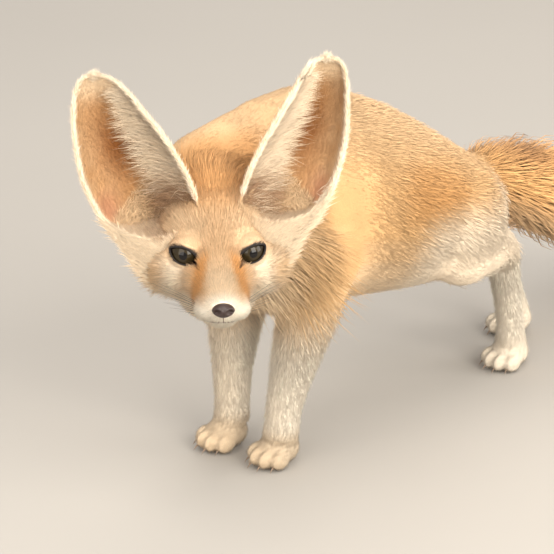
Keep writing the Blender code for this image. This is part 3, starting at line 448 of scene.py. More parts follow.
def give_colours(mesh, colours):
    """A colour for each vertex."""
    layer = mesh.color_attributes.new("Coat", "FLOAT_COLOR", "POINT")
    full = np.ones((len(colours), 4), np.float32)
    full[:, :3] = np.clip(colours, 0.0, 1.0)
    layer.data.foreach_set("color", full.ravel())


def give_ways(mesh, ways, name="Lie"):
    """A vector for each vertex."""
    layer = mesh.attributes.new(name, "FLOAT_VECTOR", "POINT")
    layer.data.foreach_set("vector", np.ascontiguousarray(ways, np.float32).ravel())


def ring_matrix(centre, across, up):
    """The matrix that makes a unit circle an oval with these half axes."""
    matrix = Matrix.Identity(4)
    normal = across.cross(up).normalized()
    for column, vector in enumerate((across, up, normal, centre)):
        for row in range(3):
            matrix[row][column] = vector[row]
    return matrix


def loft(bm, rings, sides=24, closed=True):
    """Bridge circles that are stretched to ovals: centre, way across and way up, each as long as its half size."""
    first = last = None
    for centre, across, up in rings:
        made = bmesh.ops.create_circle(bm, segments=sides, radius=1.0, matrix=ring_matrix(centre, across, up))
        edges = list(dict.fromkeys(edge for vert in made["verts"] for edge in vert.link_edges))
        if last:
            bmesh.ops.bridge_loops(bm, edges=last + edges)
        first = first or edges
        last = edges
    if closed:
        bmesh.ops.edgeloop_fill(bm, edges=first)
        bmesh.ops.edgeloop_fill(bm, edges=last)


def upright(rows, place):
    """Rings for a row of upright ovals along Y."""
    turn = place.to_3x3()
    return [(place @ Vector((0, y, z)), turn @ Vector((wide, 0, 0)), turn @ Vector((0, 0, high)))
            for y, z, wide, high in rows]


def limb(rows):
    """Rings square to the line through their centres."""
    centres = [Vector(row[0]) + SHIFT for row in rows]
    rings = []
    for i, (_, wide, deep) in enumerate(rows):
        along = (centres[min(i + 1, len(rows) - 1)] - centres[max(i - 1, 0)]).normalized()
        across = (Vector((1, 0, 0)) - along * along.x).normalized()
        rings.append((centres[i], across * wide, along.cross(across) * deep))
    return rings


def blob(bm, centre, size, place, segments=24):
    """An ellipsoid, given by its centre and half sizes."""
    matrix = place @ Matrix.Translation(centre) @ Matrix.Diagonal((*size, 1.0))
    bmesh.ops.create_uvsphere(bm, u_segments=segments, v_segments=segments // 2, radius=1.0, matrix=matrix)


def feet():
    """Each paw's own frame, on the floor and turned with its toes."""
    for x, y, out in PAWS:
        yield Matrix.Translation(Vector((x, y, 0.0)) + SHIFT) @ Matrix.Rotation(math.radians(out), 4, "Z")


def mouth_line(count):
    """Even points along the mouth, from one corner to the other."""
    line = [(-x, y, z) for x, y, z in reversed(MOUTH[1:])] + list(MOUTH)
    return [HEAD @ Vector(point) for point in smooth_line(line, count)]


def tube(bm, points, sizes, sides=8, flat=None):
    """A tapered tube along points, with a half size at each one."""
    rings = []
    for i, (point, size) in enumerate(zip(points, sizes)):
        along = (Vector(points[min(i + 1, len(points) - 1)]) - Vector(points[max(i - 1, 0)])).normalized()
        side = along.cross(Vector(flat) if flat is not None else Vector((0, 0, 1)))
        side = (side if side.length > 0.05 else along.cross(Vector((1, 0, 0)))).normalized()
        rings.append((Vector(point), side * size, along.cross(side) * size))
    loft(bm, rings, sides)


def eye_matrix(side):
    """The eye's own frame: -Y looks out of the eye, and X runs along the opening of the lids."""
    at = Matrix.Translation((side * EYE_AT.x, EYE_AT.y + EYE_BACK, EYE_AT.z))
    turn = Matrix.Rotation(side * EYE_TURN, 4, "Z") @ Matrix.Rotation(-EYE_LIFT, 4, "X")
    return HEAD @ at @ turn @ Matrix.Rotation(side * EYE_TILT, 4, "Y")


def eye_places(points, side):
    """World points in an eye's own frame."""
    place = np.array(eye_matrix(side).inverted())
    return points @ place[:3, :3].T + place[:3, 3]


def duct_share(local, side):
    """1 in the dark wedge at an eye's inner corner, which points down along the nose."""
    along = -side * local[:, 0] - EYE_OPENING[0] + 0.0016
    half = 0.0020 * np.clip(1.0 - along / DUCT_LENGTH, 0.0, 1.0)
    off = np.abs(local[:, 2] + 0.0008 + 0.40 * along)
    return (1.0 - ramp(off, half, half + 0.0005)) * ramp(along, -0.0004, 0.0004) * (half > 0.0) * (local[:, 1] < 0.004)


def almond(angle, side, grow=0.0):
    """A point of the opening between the lids, seen along the way that the eye looks."""
    half_length, half_height = EYE_OPENING[0] + grow, EYE_OPENING[1] + grow
    x = half_length * math.cos(angle)
    share = x / half_length
    z = half_height * math.sin(angle) * (1.0 - 0.35 * share ** 2)
    if z > 0.0:
        z *= 0.92
    inner = max(0.0, -side * share)
    return x - side * 0.0013 * inner ** 6, z - 0.0010 * inner ** 4


# Skin

def head_weight(points):
    """1 on the head and 0 behind it."""
    head = head_places(points)
    return (1.0 - ramp(head[:, 1], 0.026, 0.050)) * ramp(points[:, 2], 0.098, 0.112)


def leg_weight(points):
    """1 on the lower legs and 0 on the body."""
    body = body_places(points)
    fore = (1.0 - ramp(body[:, 2], 0.070, 0.112)) * (1.0 - ramp(body[:, 1], 0.048, 0.066))
    hind_top = blend(0.085, 0.094, ramp(body[:, 1], 0.150, 0.200))
    hind = (1.0 - ramp(body[:, 2], hind_top - 0.022, hind_top + 0.004)) * ramp(body[:, 1], 0.120, 0.165)
    return np.clip(fore + hind, 0.0, 1.0) * (1.0 - tail_weight(points))


def tail_weight(points):
    """1 on the tail, from just behind its root."""
    body = body_places(points)
    low = 0.100 - 0.35 * (body[:, 1] - 0.200)
    return ((body[:, 1] > 0.192) & (body[:, 2] > low) & (np.abs(body[:, 0] - 0.004) < 0.022)).astype(float) * ramp(
        body[:, 1], 0.192, 0.206)


def paw_weight(points):
    """1 on the paws."""
    return 1.0 - ramp(body_places(points)[:, 2], 0.016, 0.028)


def coat_depth(points):
    """How far the skin lies under the outside of the coat."""
    head = head_places(points)
    on_head = COAT_DEPTH["crown"] + 0.0024 * ramp(np.abs(head[:, 0]), 0.016, 0.030) * ramp(-head[:, 2], -0.004, 0.010)
    on_head = blend(on_head, COAT_DEPTH["muzzle"], 1.0 - ramp(head[:, 1], -0.034, -0.006))
    depth = blend(np.full(len(points), COAT_DEPTH["body"]), on_head, head_weight(points))
    depth = blend(depth, COAT_DEPTH["legs"], leg_weight(points))
    depth = blend(depth, COAT_DEPTH["paws"], paw_weight(points))
    return blend(depth, 0.0, tail_weight(points))


def skin_mesh():
    """Body, limbs and head joined to one closed skin, with eye sockets, lids and the groove of the mouth."""
    bm = bmesh.new()
    place = Matrix.Translation(SHIFT)
    loft(bm, upright([(y, (top + low) / 2, wide, (top - low) / 2) for y, top, low, wide in TRUNK], place))
    for rows in (NECK, *FORELEGS, *HINDLEGS):
        loft(bm, limb(rows))
    core = [(centre, radius * share, radius * share) for (centre, radius), share
            in zip(TAIL, TAIL_CORE + (CORE,) * len(TAIL))]
    loft(bm, limb(core[:-1]))
    for foot in feet():
        blob(bm, PALM_AT, PALM_SIZE, foot)
        for side in (-1, 1):
            for across, front in TOES:
                blob(bm, (side * across, front, TOE_HEIGHT), TOE_SIZE, foot)
    loft(bm, upright(FACE, HEAD))
    loft(bm, upright(JAW, HEAD))
    for side in (-1, 1):
        for centre, size in ((CHEEK_AT, CHEEK_SIZE), (BROW_AT, BROW_SIZE), (PAD_AT, PAD_SIZE)):
            blob(bm, (side * centre[0], centre[1], centre[2]), size, HEAD)
    blob(bm, NAPE_AT, NAPE_SIZE, HEAD)
    for centre, size in JOINTS:
        blob(bm, centre, size, place)
    mesh = with_modifiers(mesh_from("skin", bm),
                          ("REMESH", {"mode": "VOXEL", "voxel_size": SKIN_VOXEL}),
                          ("SMOOTH", {"factor": 0.5, "iterations": 8}))
    points = read(mesh)
    body = body_places(points)
    shin = ramp(body[:, 2], 0.072, 0.088) * ramp(body[:, 1], 0.080, 0.120)
    broad = (1.0 - head_weight(points)) * (1.0 - leg_weight(points) * (1.0 - shin)) * (1.0 - tail_weight(points))
    broad *= 1.0 - paw_weight(points)
    mesh = with_modifiers(mesh, ("SMOOTH", {"factor": 0.8, "iterations": 45, "vertex_group": "part"}), weights=broad)
    points, normals = read(mesh), read(mesh, "normal")
    write(mesh, points - normals * (coat_depth(points) * (1.0 - 0.6 * broad))[:, None])
    mesh = with_modifiers(mesh, ("SMOOTH", {"factor": 0.5, "iterations": 4}))
    # The lids stand over each eye, and open in an almond.
    lids = bmesh.new()
    for side in (-1, 1):
        blob(lids, (0, 0, 0), [EYE_R + LID_GAP + LID_THICK] * 3, eye_matrix(side), 48)
    mesh = with_modifiers(soften(combine(mesh, [lids], "UNION")), ("DECIMATE", {"ratio": SKIN_KEPT}))
    cutters = []
    for side in (-1, 1):
        opening, socket = bmesh.new(), bmesh.new()
        place = eye_matrix(side)
        rings = [[place @ Vector((x, y, z)) for x, z in [almond(2 * math.pi * i / 40, side) for i in range(40)]]
                 for y in (-0.020, 0.0)]
        polygon(opening, rings)
        blob(socket, (0, 0, 0), [EYE_R + LID_GAP] * 3, place, 48)
        cutters += [opening, socket]
    groove = bmesh.new()
    tube(groove, mouth_line(25), [0.00035 + 0.0005 * math.sin(math.pi * i / 24) for i in range(25)], 8)
    return combine(mesh, cutters + [groove])


def polygon(bm, rings):
    """A closed prism between two rings of points."""
    loops = []
    for ring in rings:
        verts = [bm.verts.new(point) for point in ring]
        loops.append([bm.edges.new((a, b)) for a, b in zip(verts, verts[1:] + verts[:1])])
    bmesh.ops.bridge_loops(bm, edges=loops[0] + loops[1])
    bmesh.ops.edgeloop_fill(bm, edges=loops[0])
    bmesh.ops.edgeloop_fill(bm, edges=loops[1])


def soften(mesh):
    """Smooth the skin where the lids grow out of it."""
    points = read(mesh)
    weights = np.zeros(len(points))
    for side in (-1, 1):
        away = np.linalg.norm(points - np.array(eye_matrix(side).translation), axis=1)
        weights = np.maximum(weights, 1.0 - ramp(away, 0.0108, 0.0148))
    bm = bmesh.new()
    bm.from_mesh(mesh)
    bm.verts.ensure_lookup_table()
    verts = [bm.verts[i] for i in np.nonzero(weights > 0.05)[0]]
    for _ in range(3):
        bmesh.ops.smooth_vert(bm, verts=verts, factor=0.5, use_axis_x=True, use_axis_y=True, use_axis_z=True)
    return plain_mesh("skin", bm)


# Markings

def mix_in(colours, *layers):
    """Blend named colours of the coat over the colours in turn, each by a share for each place."""
    for colour, share in layers:
        colours = colours + (COAT[colour] - colours) * share[:, None]
    return colours


def head_colours(head):
    """The face's markings, with painted shade at the outer edges of the cheeks, from places in the head's frame."""
    x, y, z = np.abs(head[:, 0]), head[:, 1], head[:, 2]
    colours = np.tile(blend(COAT["sand"], COAT["cream"], 0.35) * np.array([0.80, 0.78, 0.80]), (len(head), 1))
    crown = ramp(z, 0.014, 0.030) * (1.0 - ramp(x, 0.012, 0.026))
    pale = np.maximum(ramp(-z, -0.002, 0.008) * ramp(x, 0.014, 0.024), ramp(-z, 0.014, 0.022))
    brow = (1.0 - ramp(np.hypot((x - 0.022) * 0.7, z - 0.0120), 0.003, 0.016)) * (1.0 - ramp(y, 0.022, 0.040))
    side = ramp(x, 0.024, 0.034) * (1.0 - ramp(z, 0.020, 0.034))
    crescent = (1.0 - ramp(np.abs(np.hypot(x - 0.0155, z + 0.0030) - 0.0170), 0.0010, 0.0055)) * ramp(x, 0.023, 0.029)
    bridge = (1.0 - ramp(x, 0.004, 0.010)) * (1.0 - ramp(y, -0.026, -0.006))
    along = np.clip((-y - 0.008) / 0.020, 0.0, 1.0)
    centre = blend(0.0080, 0.0132, along)
    stripe = 1.0 - ramp(np.abs(x - centre), 0.0010, 0.0052)
    stripe = stripe * ramp(-y, 0.005, 0.012) * (1.0 - ramp(-y, 0.026, 0.033))
    stripe *= ramp(z, -0.022, -0.016)
    corner = 1.0 - ramp(np.hypot(x - 0.0088, (y + 0.0035) * 0.8), 0.0020, 0.0050)
    muzzle = (1.0 - ramp(y, -0.040, -0.022)) * np.maximum(ramp(-z, 0.011, 0.018), 0.8 * (1.0 - ramp(y, -0.042, -0.030)))
    return mix_in(
        colours, ("orange", 0.60 * crown), ("cream", 0.95 * pale), ("white", 0.45 * pale), ("cream", 0.38 * brow),
        ("cream", 0.9 * side), ("brown", 0.30 * crescent * (1.0 - ramp(np.abs(z + 0.0030), 0.009, 0.017))),
        # The sand at the lower outer edge of each cheek is painted shade, where the face turns away.
        ("sand", 0.45 * ramp(x, 0.025, 0.033) * ramp(-z, 0.003, 0.012)), ("cream", 0.75 * bridge),
        ("orange", 0.85 * stripe), ("brown", 0.20 * stripe), ("brown", 0.28 * corner * (z < 0.004)), ("white", muzzle))


def coat_colours(points, normals):
    """The markings of the whole fox, with a painted highlight on top of the back and forepaws darkened by dust and
    painted shade, from places in the world.
    """
    body, head = body_places(points), head_places(points)
    y, z, up = body[:, 1], body[:, 2], normals[:, 2]
    flank = (1.0 - ramp(np.abs(z - 0.156), 0.008, 0.026)) * (1.0 - ramp(np.abs(y - 0.112), 0.016, 0.048))
    thigh = ramp(y, 0.082, 0.116) * (1.0 - ramp(z, 0.116, 0.146)) * (1.0 - ramp(y, 0.215, 0.235))
    low = 1.0 - ramp(z, 0.060, 0.120)
    legs = leg_weight(points)
    nape = (1.0 - ramp(head[:, 1], 0.048, 0.064)) * ramp(z, 0.168, 0.186)
    colours = mix_in(
        np.tile(COAT["sand"], (len(points), 1)),
        # Painted highlight: places on top of the back that face up take the lighter back colour.
        ("back", ramp(up, 0.1, 0.8) * ramp(z, 0.130, 0.180)), ("orange", 0.60 * flank * (1.0 - ramp(up, 0.2, 0.8))),
        ("cream", 0.9 * ramp(-up, 0.05, 0.75)), ("cream", 0.80 * thigh), ("white", 0.60 * thigh),
        ("cream", 0.75 * low * (1.0 - ramp(y, 0.040, 0.070))), ("cream", 0.5 * legs),
        ("white", legs * (1.0 - ramp(z, 0.060, 0.125))),
        ("orange", 0.60 * nape * (1.0 - ramp(np.abs(head[:, 0]), 0.020, 0.036))))
    shoulder = (1.0 - ramp(y, 0.050, 0.090)) * ramp(z, 0.105, 0.135)
    colours = colours * (1.0 - 0.16 * shoulder)[:, None]
    # The front paws are darker: partly dust, partly painted shade.
    paws = (paw_weight(points) * (1.0 - 0.8 * ramp(y, 0.05, 0.12)))[:, None]
    colours = blend(colours, colours * np.array([0.62, 0.56, 0.49]), paws)
    chest = (1.0 - ramp(y, -0.020, 0.010)) * (1.0 - ramp(z, 0.120, 0.165))
    colours = mix_in(colours, ("cream", 0.8 * chest))
    colours = blend(colours, head_colours(head), head_weight(points)[:, None])
    return blend(colours, tail_colours(body, normals), tail_weight(points)[:, None])


def tail_colours(body, normals):
    """The tail is sandy orange, paler below, with a dark patch over its gland and a black tip."""
    y, up = body[:, 1], normals[:, 2]
    gland = (1.0 - ramp(np.abs(y - 0.236), 0.010, 0.022)) * ramp(up, 0.35, 0.8)
    return mix_in(np.tile(blend(COAT["sand"], COAT["orange"], 0.40) * 1.22, (len(body), 1)),
                  ("cream", 0.45 * ramp(-up, 0.1, 0.8)), ("brown", 0.75 * gland), ("black", ramp(y, 0.352, 0.382)))


# Lie of the coat

def coat_ways(points, normals):
    """Which way the hair lies, along the skin."""
    body, head = body_places(points), head_places(points)
    y, z = body[:, 1], body[:, 2]
    ways = np.zeros_like(points)
    ways[:, 1] = 1.0
    ways[:, 2] = -0.30 - 0.35 * (1.0 - np.abs(normals[:, 2]))
    neck = 1.0 - ramp(y, 0.000, 0.040)
    thigh = ramp(y, 0.115, 0.150) * (1.0 - ramp(z, 0.100, 0.150))
    knee = ramp(y, 0.095, 0.120) * (1.0 - ramp(z, 0.094, 0.112)) * (1.0 - ramp(y, 0.165, 0.190))
    for way, share in (((-0.10, 0.80, -0.70), 0.8 * neck), ((0.0, 0.75, -0.80), thigh), ((0.0, 1.0, -0.10), knee),
                       ((0.0, 0.20, -1.0), leg_weight(points)),
                       ((0.0, -0.85, -0.45), paw_weight(points) * (normals[:, 2] > -0.2))):
        ways = blend(ways, np.array(way), share[:, None])
    face = unit(head - np.array([0.0, -0.050, -0.020]))
    face[:, 2] += 0.25 * ramp(head[:, 2], 0.004, 0.020) - 0.45 * ramp(-head[:, 2], 0.004, 0.018)
    face[:, 0] += 0.25 * np.sign(head[:, 0]) * ramp(np.abs(head[:, 0]), 0.010, 0.026)
    ways = blend(ways, head_ways(face), head_weight(points)[:, None])
    ways = blend(ways, tail_axis(body), tail_weight(points)[:, None])
    ways -= normals * np.sum(ways * normals, axis=1, keepdims=True)
    return unit(ways)


def tail_axis(body):
    """Which way the tail runs at each place."""
    centres = smooth_line([centre for centre, _ in TAIL], 60)
    axes = unit(np.gradient(centres, axis=0))
    i = np.clip(np.searchsorted(centres[:, 1], body[:, 1]), 0, 59)
    return axes[i]


# Tufts

def plant(mesh, weights, count, seed):
    """Roots spread over a mesh in proportion to a weight at each point: place, normal, place on its unwrap."""
    draw = np.random.default_rng(seed)
    mesh.calc_loop_triangles()
    total = len(mesh.loop_triangles)
    corners = np.empty(total * 3, np.int32)
    loops = np.empty(total * 3, np.int32)
    mesh.loop_triangles.foreach_get("vertices", corners)
    mesh.loop_triangles.foreach_get("loops", loops)
    corners, loops = corners.reshape(-1, 3), loops.reshape(-1, 3)
    points, normals = read(mesh), read(mesh, "normal")
    uvs = np.empty(len(mesh.loops) * 2, np.float32)
    mesh.uv_layers["OFBake"].data.foreach_get("uv", uvs)
    uvs = uvs.reshape(-1, 2)
    a, b, c = points[corners[:, 0]], points[corners[:, 1]], points[corners[:, 2]]
    area = 0.5 * np.linalg.norm(np.cross(b - a, c - a), axis=1)
    share = np.cumsum(area * weights[corners].mean(axis=1))
    if share[-1] <= 0.0:
        raise RuntimeError("nothing grows here")
    picks = np.searchsorted(share, (np.arange(count) + draw.random(count)) / count * share[-1])
    picks = np.minimum(picks, total - 1)
    first, second = draw.random(count), draw.random(count)
    over = first + second > 1.0
    first[over], second[over] = 1.0 - first[over], 1.0 - second[over]
    third = 1.0 - first - second
    parts = np.stack([first, second, third], axis=1)[:, :, None]
    place = (points[corners[picks]] * parts).sum(axis=1)
    normal = unit((normals[corners[picks]] * parts).sum(axis=1))
    uv = (uvs[loops[picks]] * parts).sum(axis=1)
    return place, normal, uv


def tuft_points(roots, ways, lengths, widths, lifts, sections, draw, wander, sink, curl):
    """Points of tapered tufts, a triangle at the start of each section and one point at the tip."""
    place, normal, _ = roots
    count = len(place)
    side = unit(np.cross(ways, normal))
    turn = draw.normal(0.0, wander, count)[:, None]
    ways = unit(ways * np.cos(turn) + side * np.sin(turn))
    side = unit(np.cross(ways, normal))
    bend = draw.normal(0.0, curl, count)[:, None]
    lengths = lengths * (1.0 + 0.18 * draw.normal(0.0, 1.0, count)).clip(0.5, 1.5)
    widths = widths * (1.0 + 0.20 * draw.normal(0.0, 1.0, count)).clip(0.5, 1.6)
    start, end = lifts
    start = (start * (1.0 + 0.25 * draw.normal(0.0, 1.0, count))).clip(0.03, 1.3)
    point = place - normal * sink
    rings = []
    for k in range(sections + 1):
        if k:
            angle = (start + (end - start) * (k - 1) / max(1, sections - 1))[:, None]
            way = unit(ways * np.cos(angle) + normal * np.sin(angle) + side * bend * (k - 0.5) / sections)
            point = point + way * (lengths / sections)[:, None]
        if k < sections:
            half = (widths * 0.5 * (TUFT_SHAPE[k] if sections > 1 else 1.0))[:, None]
            rings.append(np.stack([point - side * half, point + side * half, point + normal * half * 0.9], axis=1))
    verts = np.concatenate(rings + [point[:, None, :]], axis=1)
    verts[:, :, 2] = np.maximum(verts[:, :, 2], FLOOR_GAP)
    return verts


def tuft_faces(sections):
    """The triangles of one tuft, as numbers of its points."""
    faces = [(0, 2, 1)]
    for low in range(0, 3 * (sections - 1), 3):
        for i in range(3):
            j = (i + 1) % 3
            faces += [(low + i, low + j, low + 3 + j), (low + i, low + 3 + j, low + 3 + i)]
    top = 3 * (sections - 1)
    return np.array(faces + [(top + i, top + (i + 1) % 3, top + 3) for i in range(3)])


def tufts(name, roots, ways, lengths, widths, lifts, colours, sections=2, seed=0, wander=0.20, sink=0.0004,
          tip_colours=None, curl=0.15, soft=1.0, vary=0.055, lit=None):
    """Grow thin tapered tufts at their roots, lying along their ways, as pieces of joined mesh."""
    draw = np.random.default_rng(seed + 1000)
    uv = roots[2]
    count = len(uv)
    verts = tuft_points(roots, ways, lengths, widths, lifts, sections, draw, wander, sink, curl)
    shade = (1.0 + vary * draw.normal(0.0, 1.0, count)).clip(0.75, 1.2)[:, None]
    tip_colours = colours if tip_colours is None else tip_colours
    lit = roots[1] if lit is None else lit
    faces = tuft_faces(sections)
    per = verts.shape[1]
    # How far along its tuft each point is, and where it lies in the tuft's patch of the unwrap.
    level = np.append(np.repeat(np.linspace(0.0, 1.0, sections + 1)[:-1], 3), 1.0)
    across = np.append(np.tile([-0.5, 0.5, 0.0], sections), 0.0)
    offset = np.stack([across, level - 0.5], axis=1) * PATCH
    parts = max(1, math.ceil(count / (COAT_TRIANGLES // len(faces))))
    for number, chosen in enumerate(np.array_split(np.arange(count), parts)):
        n = len(chosen)
        mesh = bpy.data.meshes.new(name)
        mesh.vertices.add(n * per)
        mesh.vertices.foreach_set("co", verts[chosen].astype(np.float32).ravel())
        index = (faces[None] + (np.arange(n) * per)[:, None, None]).reshape(-1, 3)
        mesh.loops.add(index.size)
        mesh.loops.foreach_set("vertex_index", index.astype(np.int32).ravel())
        mesh.polygons.add(len(index))
        mesh.polygons.foreach_set("loop_start", np.arange(0, index.size, 3, dtype=np.int32))
        mesh.polygons.foreach_set("use_smooth", np.ones(len(index), bool))
        mesh.update()
        corner_uv = (uv[chosen][:, None, :] + offset[None]).reshape(-1, 2)[index.ravel()]
        mesh.uv_layers.new(name="OFBake").data.foreach_set("uv", corner_uv.astype(np.float32).ravel())
        tint = blend(colours[chosen][:, None, :] * 0.93, tip_colours[chosen][:, None, :] * 1.05, level[None, :, None])
        give_colours(mesh, (tint * shade[chosen][:, None, :]).reshape(-1, 3))
        give_ways(mesh, np.repeat(lit[chosen] * soft, per, axis=0))
        new_piece(f"{name}_{number + 1}", mesh, material=coat_material())


# Materials

def make_group(name, inputs, outputs):
    """An empty shader group with sockets: name, kind and default."""
    tree = bpy.data.node_groups.new(name, "ShaderNodeTree")
    for label, kind, default in inputs:
        socket = tree.interface.new_socket(name=label, in_out="INPUT", socket_type=kind)
        socket.default_value = default
    for label, kind in outputs:
        tree.interface.new_socket(name=label, in_out="OUTPUT", socket_type=kind)
    return tree, tree.nodes.new("NodeGroupInput"), tree.nodes.new("NodeGroupOutput")


def add_node(tree, kind, values=(), links=()):
    """A node with values set by attribute or by socket, and links from other sockets."""
    node = tree.nodes.new(kind)
    for key, value in dict(values).items():
        if isinstance(key, str) and hasattr(node, key):
            setattr(node, key, value)
        else:
            node.inputs[key].default_value = value
    for key, socket in dict(links).items():
        tree.links.new(socket, node.inputs[key])
    return node


def streak_group():
    """Fine streaks of lighter and darker hair, with a height for bump."""
    found = bpy.data.node_groups.get("fine streaks")
    if found:
        return found
    tree, source, result = make_group(
        "fine streaks",
        (("Colour", "NodeSocketColor", (1, 1, 1, 1)), ("Size", "NodeSocketFloat", 900.0),
         ("Strength", "NodeSocketFloat", 0.25)),
        (("Colour", "NodeSocketColor"), ("Height", "NodeSocketFloat"), ("Roughness", "NodeSocketFloat")))
    place = add_node(tree, "ShaderNodeTexCoord")
    fine = add_node(tree, "ShaderNodeTexNoise", {"Detail": 2.0, "Roughness": 0.6},
                    {"Vector": place.outputs["Object"], "Scale": source.outputs["Size"]})
    broad = add_node(tree, "ShaderNodeTexNoise", {"Scale": 55.0, "Detail": 3.0}, {"Vector": place.outputs["Object"]})
    both = add_node(tree, "ShaderNodeMath", {"operation": "ADD"}, {0: fine.outputs["Fac"], 1: broad.outputs["Fac"]})
    centred = add_node(tree, "ShaderNodeMath", {"operation": "SUBTRACT", 1: 1.0}, {0: both.outputs[0]})
    scaled = add_node(tree, "ShaderNodeMath", {"operation": "MULTIPLY"},
                      {0: centred.outputs[0], 1: source.outputs["Strength"]})
    lit = add_node(tree, "ShaderNodeMath", {"operation": "ADD", 1: 1.0}, {0: scaled.outputs[0]})
    tinted = add_node(tree, "ShaderNodeVectorMath", {"operation": "SCALE"},
                      {0: source.outputs["Colour"], "Scale": lit.outputs[0]})
    rough = add_node(tree, "ShaderNodeMapRange", {"To Min": 0.62, "To Max": 0.86}, {"Value": fine.outputs["Fac"]})
    tree.links.new(tinted.outputs[0], result.inputs["Colour"])
    tree.links.new(fine.outputs["Fac"], result.inputs["Height"])
    tree.links.new(rough.outputs["Result"], result.inputs["Roughness"])
    return tree


def start_material(name):
    """A new material with its node tree and its shader."""
    material = bpy.data.materials.new(name)
    material.use_nodes = True
    tree = material.node_tree
    return material, tree, tree.nodes["Principled BSDF"]


def streaked(name, size, strength):
    """A new material with the piece's own colours, broken up by fine streaks."""
    material, tree, shader = start_material(name)
    colour = add_node(tree, "ShaderNodeAttribute", {"attribute_name": "Coat"})
    streaks = add_node(tree, "ShaderNodeGroup")
    streaks.node_tree = streak_group()
    streaks.inputs["Size"].default_value = size
    streaks.inputs["Strength"].default_value = strength
    tree.links.new(colour.outputs["Color"], streaks.inputs["Colour"])
    tree.links.new(streaks.outputs["Colour"], shader.inputs["Base Color"])
    tree.links.new(streaks.outputs["Roughness"], shader.inputs["Roughness"])
    return material, tree, shader, streaks


def coat_material():
    """Hair: the tuft's own colour with fine streaks, lit partly as the skin under it is."""
    found = bpy.data.materials.get("coat")
    if found:
        return found
    material, tree, shader, _ = streaked("coat", 700.0, 0.22)
    lie = add_node(tree, "ShaderNodeAttribute", {"attribute_name": "Lie"})
    facing = add_node(tree, "ShaderNodeNewGeometry")
    own = add_node(tree, "ShaderNodeVectorMath", {"operation": "SCALE", "Scale": 0.22}, {0: facing.outputs["Normal"]})
    both = add_node(tree, "ShaderNodeVectorMath", {"operation": "ADD"}, {0: own.outputs[0], 1: lie.outputs["Vector"]})
    even = add_node(tree, "ShaderNodeVectorMath", {"operation": "NORMALIZE"}, {0: both.outputs[0]})
    tree.links.new(even.outputs[0], shader.inputs["Normal"])
    for label, value in (("Specular IOR Level", 0.22), ("Sheen Weight", 0.12), ("Sheen Roughness", 0.5)):
        shader.inputs[label].default_value = value
    return material


def skin_material():
    """Skin under the coat: the same markings, darker, with a fine grain."""
    found = bpy.data.materials.get("skin")
    if found:
        return found
    material, tree, shader, streaks = streaked("skin", 1100.0, 0.35)
    bump = add_node(tree, "ShaderNodeBump", {"Strength": 0.5, "Distance": 0.0004},
                    {"Height": streaks.outputs["Height"]})
    tree.links.new(bump.outputs["Normal"], shader.inputs["Normal"])
    shader.inputs["Specular IOR Level"].default_value = 0.25
    return material


def eye_material(iris, pupil):
    """A wet eye: pupil, fibres of the iris, dark rim and the brown white of the eye, by the angle from its axis."""
    material, tree, shader = start_material("eye")
    away = add_node(tree, "ShaderNodeAttribute", {"attribute_name": "Away"})
    spokes = add_node(tree, "ShaderNodeAttribute", {"attribute_name": "Spokes"})
    fibre = add_node(tree, "ShaderNodeTexNoise", {"Scale": 7.0, "Detail": 3.0}, {"Vector": spokes.outputs["Vector"]})
    shades = add_node(tree, "ShaderNodeValToRGB", {}, {"Fac": away.outputs["Fac"]})
    edge = pupil / EYE_R
    outer, rim = [tuple(share * part for part in iris) for share in (0.75, 0.30)]
    black = (0.004, 0.003, 0.003)
    elements = shades.color_ramp.elements
    elements[0].position, elements[1].position = 0.0, edge
    elements[0].color = elements[1].color = (*black, 1.0)
    for position, colour in ((edge + 0.03, iris), (0.66, outer), (0.74, rim), (0.80, (0.010, 0.007, 0.006)),
                             (0.92, (0.045, 0.030, 0.022))):
        elements.new(position).color = (*colour, 1.0)
    varied = add_node(tree, "ShaderNodeMapRange", {"To Min": 0.55, "To Max": 1.45}, {"Value": fibre.outputs["Fac"]})
    tinted = add_node(tree, "ShaderNodeVectorMath", {"operation": "SCALE"},
                      {0: shades.outputs["Color"], "Scale": varied.outputs["Result"]})
    tree.links.new(tinted.outputs[0], shader.inputs["Base Color"])
    smear = add_node(tree, "ShaderNodeMapRange", {"To Min": 0.02, "To Max": 0.06}, {"Value": fibre.outputs["Fac"]})
    tree.links.new(smear.outputs["Result"], shader.inputs["Roughness"])
    shader.inputs["IOR"].default_value = 1.38
    return material


def toned(tree, shader, place, scale, detail, colour, shares):
    """Vary a colour over space between two shares of it; the value that does so."""
    tone = add_node(tree, "ShaderNodeTexNoise", {"Scale": scale, "Detail": detail}, {"Vector": place.outputs["Object"]})
    shades = add_node(tree, "ShaderNodeMix", {"data_type": "RGBA"}, {0: tone.outputs["Fac"]})
    for number, share in zip((6, 7), shares):
        shades.inputs[number].default_value = (*[min(1.0, share * part) for part in colour], 1.0)
    tree.links.new(shades.outputs[2], shader.inputs["Base Color"])
    return tone


def bare_material(name, colour, roughness, grain, depth, wet=0.0):
    """Bare skin, such as the nose, lids and lips, with a fine pebbled grain."""
    material, tree, shader = start_material(name)
    place = add_node(tree, "ShaderNodeTexCoord")
    pebbles = add_node(tree, "ShaderNodeTexVoronoi", {"Scale": grain, "feature": "SMOOTH_F1"},
                       {"Vector": place.outputs["Object"]})
    tone = toned(tree, shader, place, 260.0, 3.0, colour, (0.65, 1.45))
    rough = add_node(tree, "ShaderNodeMapRange", {"To Min": roughness * 0.8, "To Max": roughness * 1.3},
                     {"Value": tone.outputs["Fac"]})
    tree.links.new(rough.outputs["Result"], shader.inputs["Roughness"])
    bump = add_node(tree, "ShaderNodeBump", {"Strength": 0.6, "Distance": depth},
                    {"Height": pebbles.outputs["Distance"]})
    tree.links.new(bump.outputs["Normal"], shader.inputs["Normal"])
    shader.inputs["Coat Weight"].default_value = wet
    shader.inputs["Coat Roughness"].default_value = 0.18
    return material


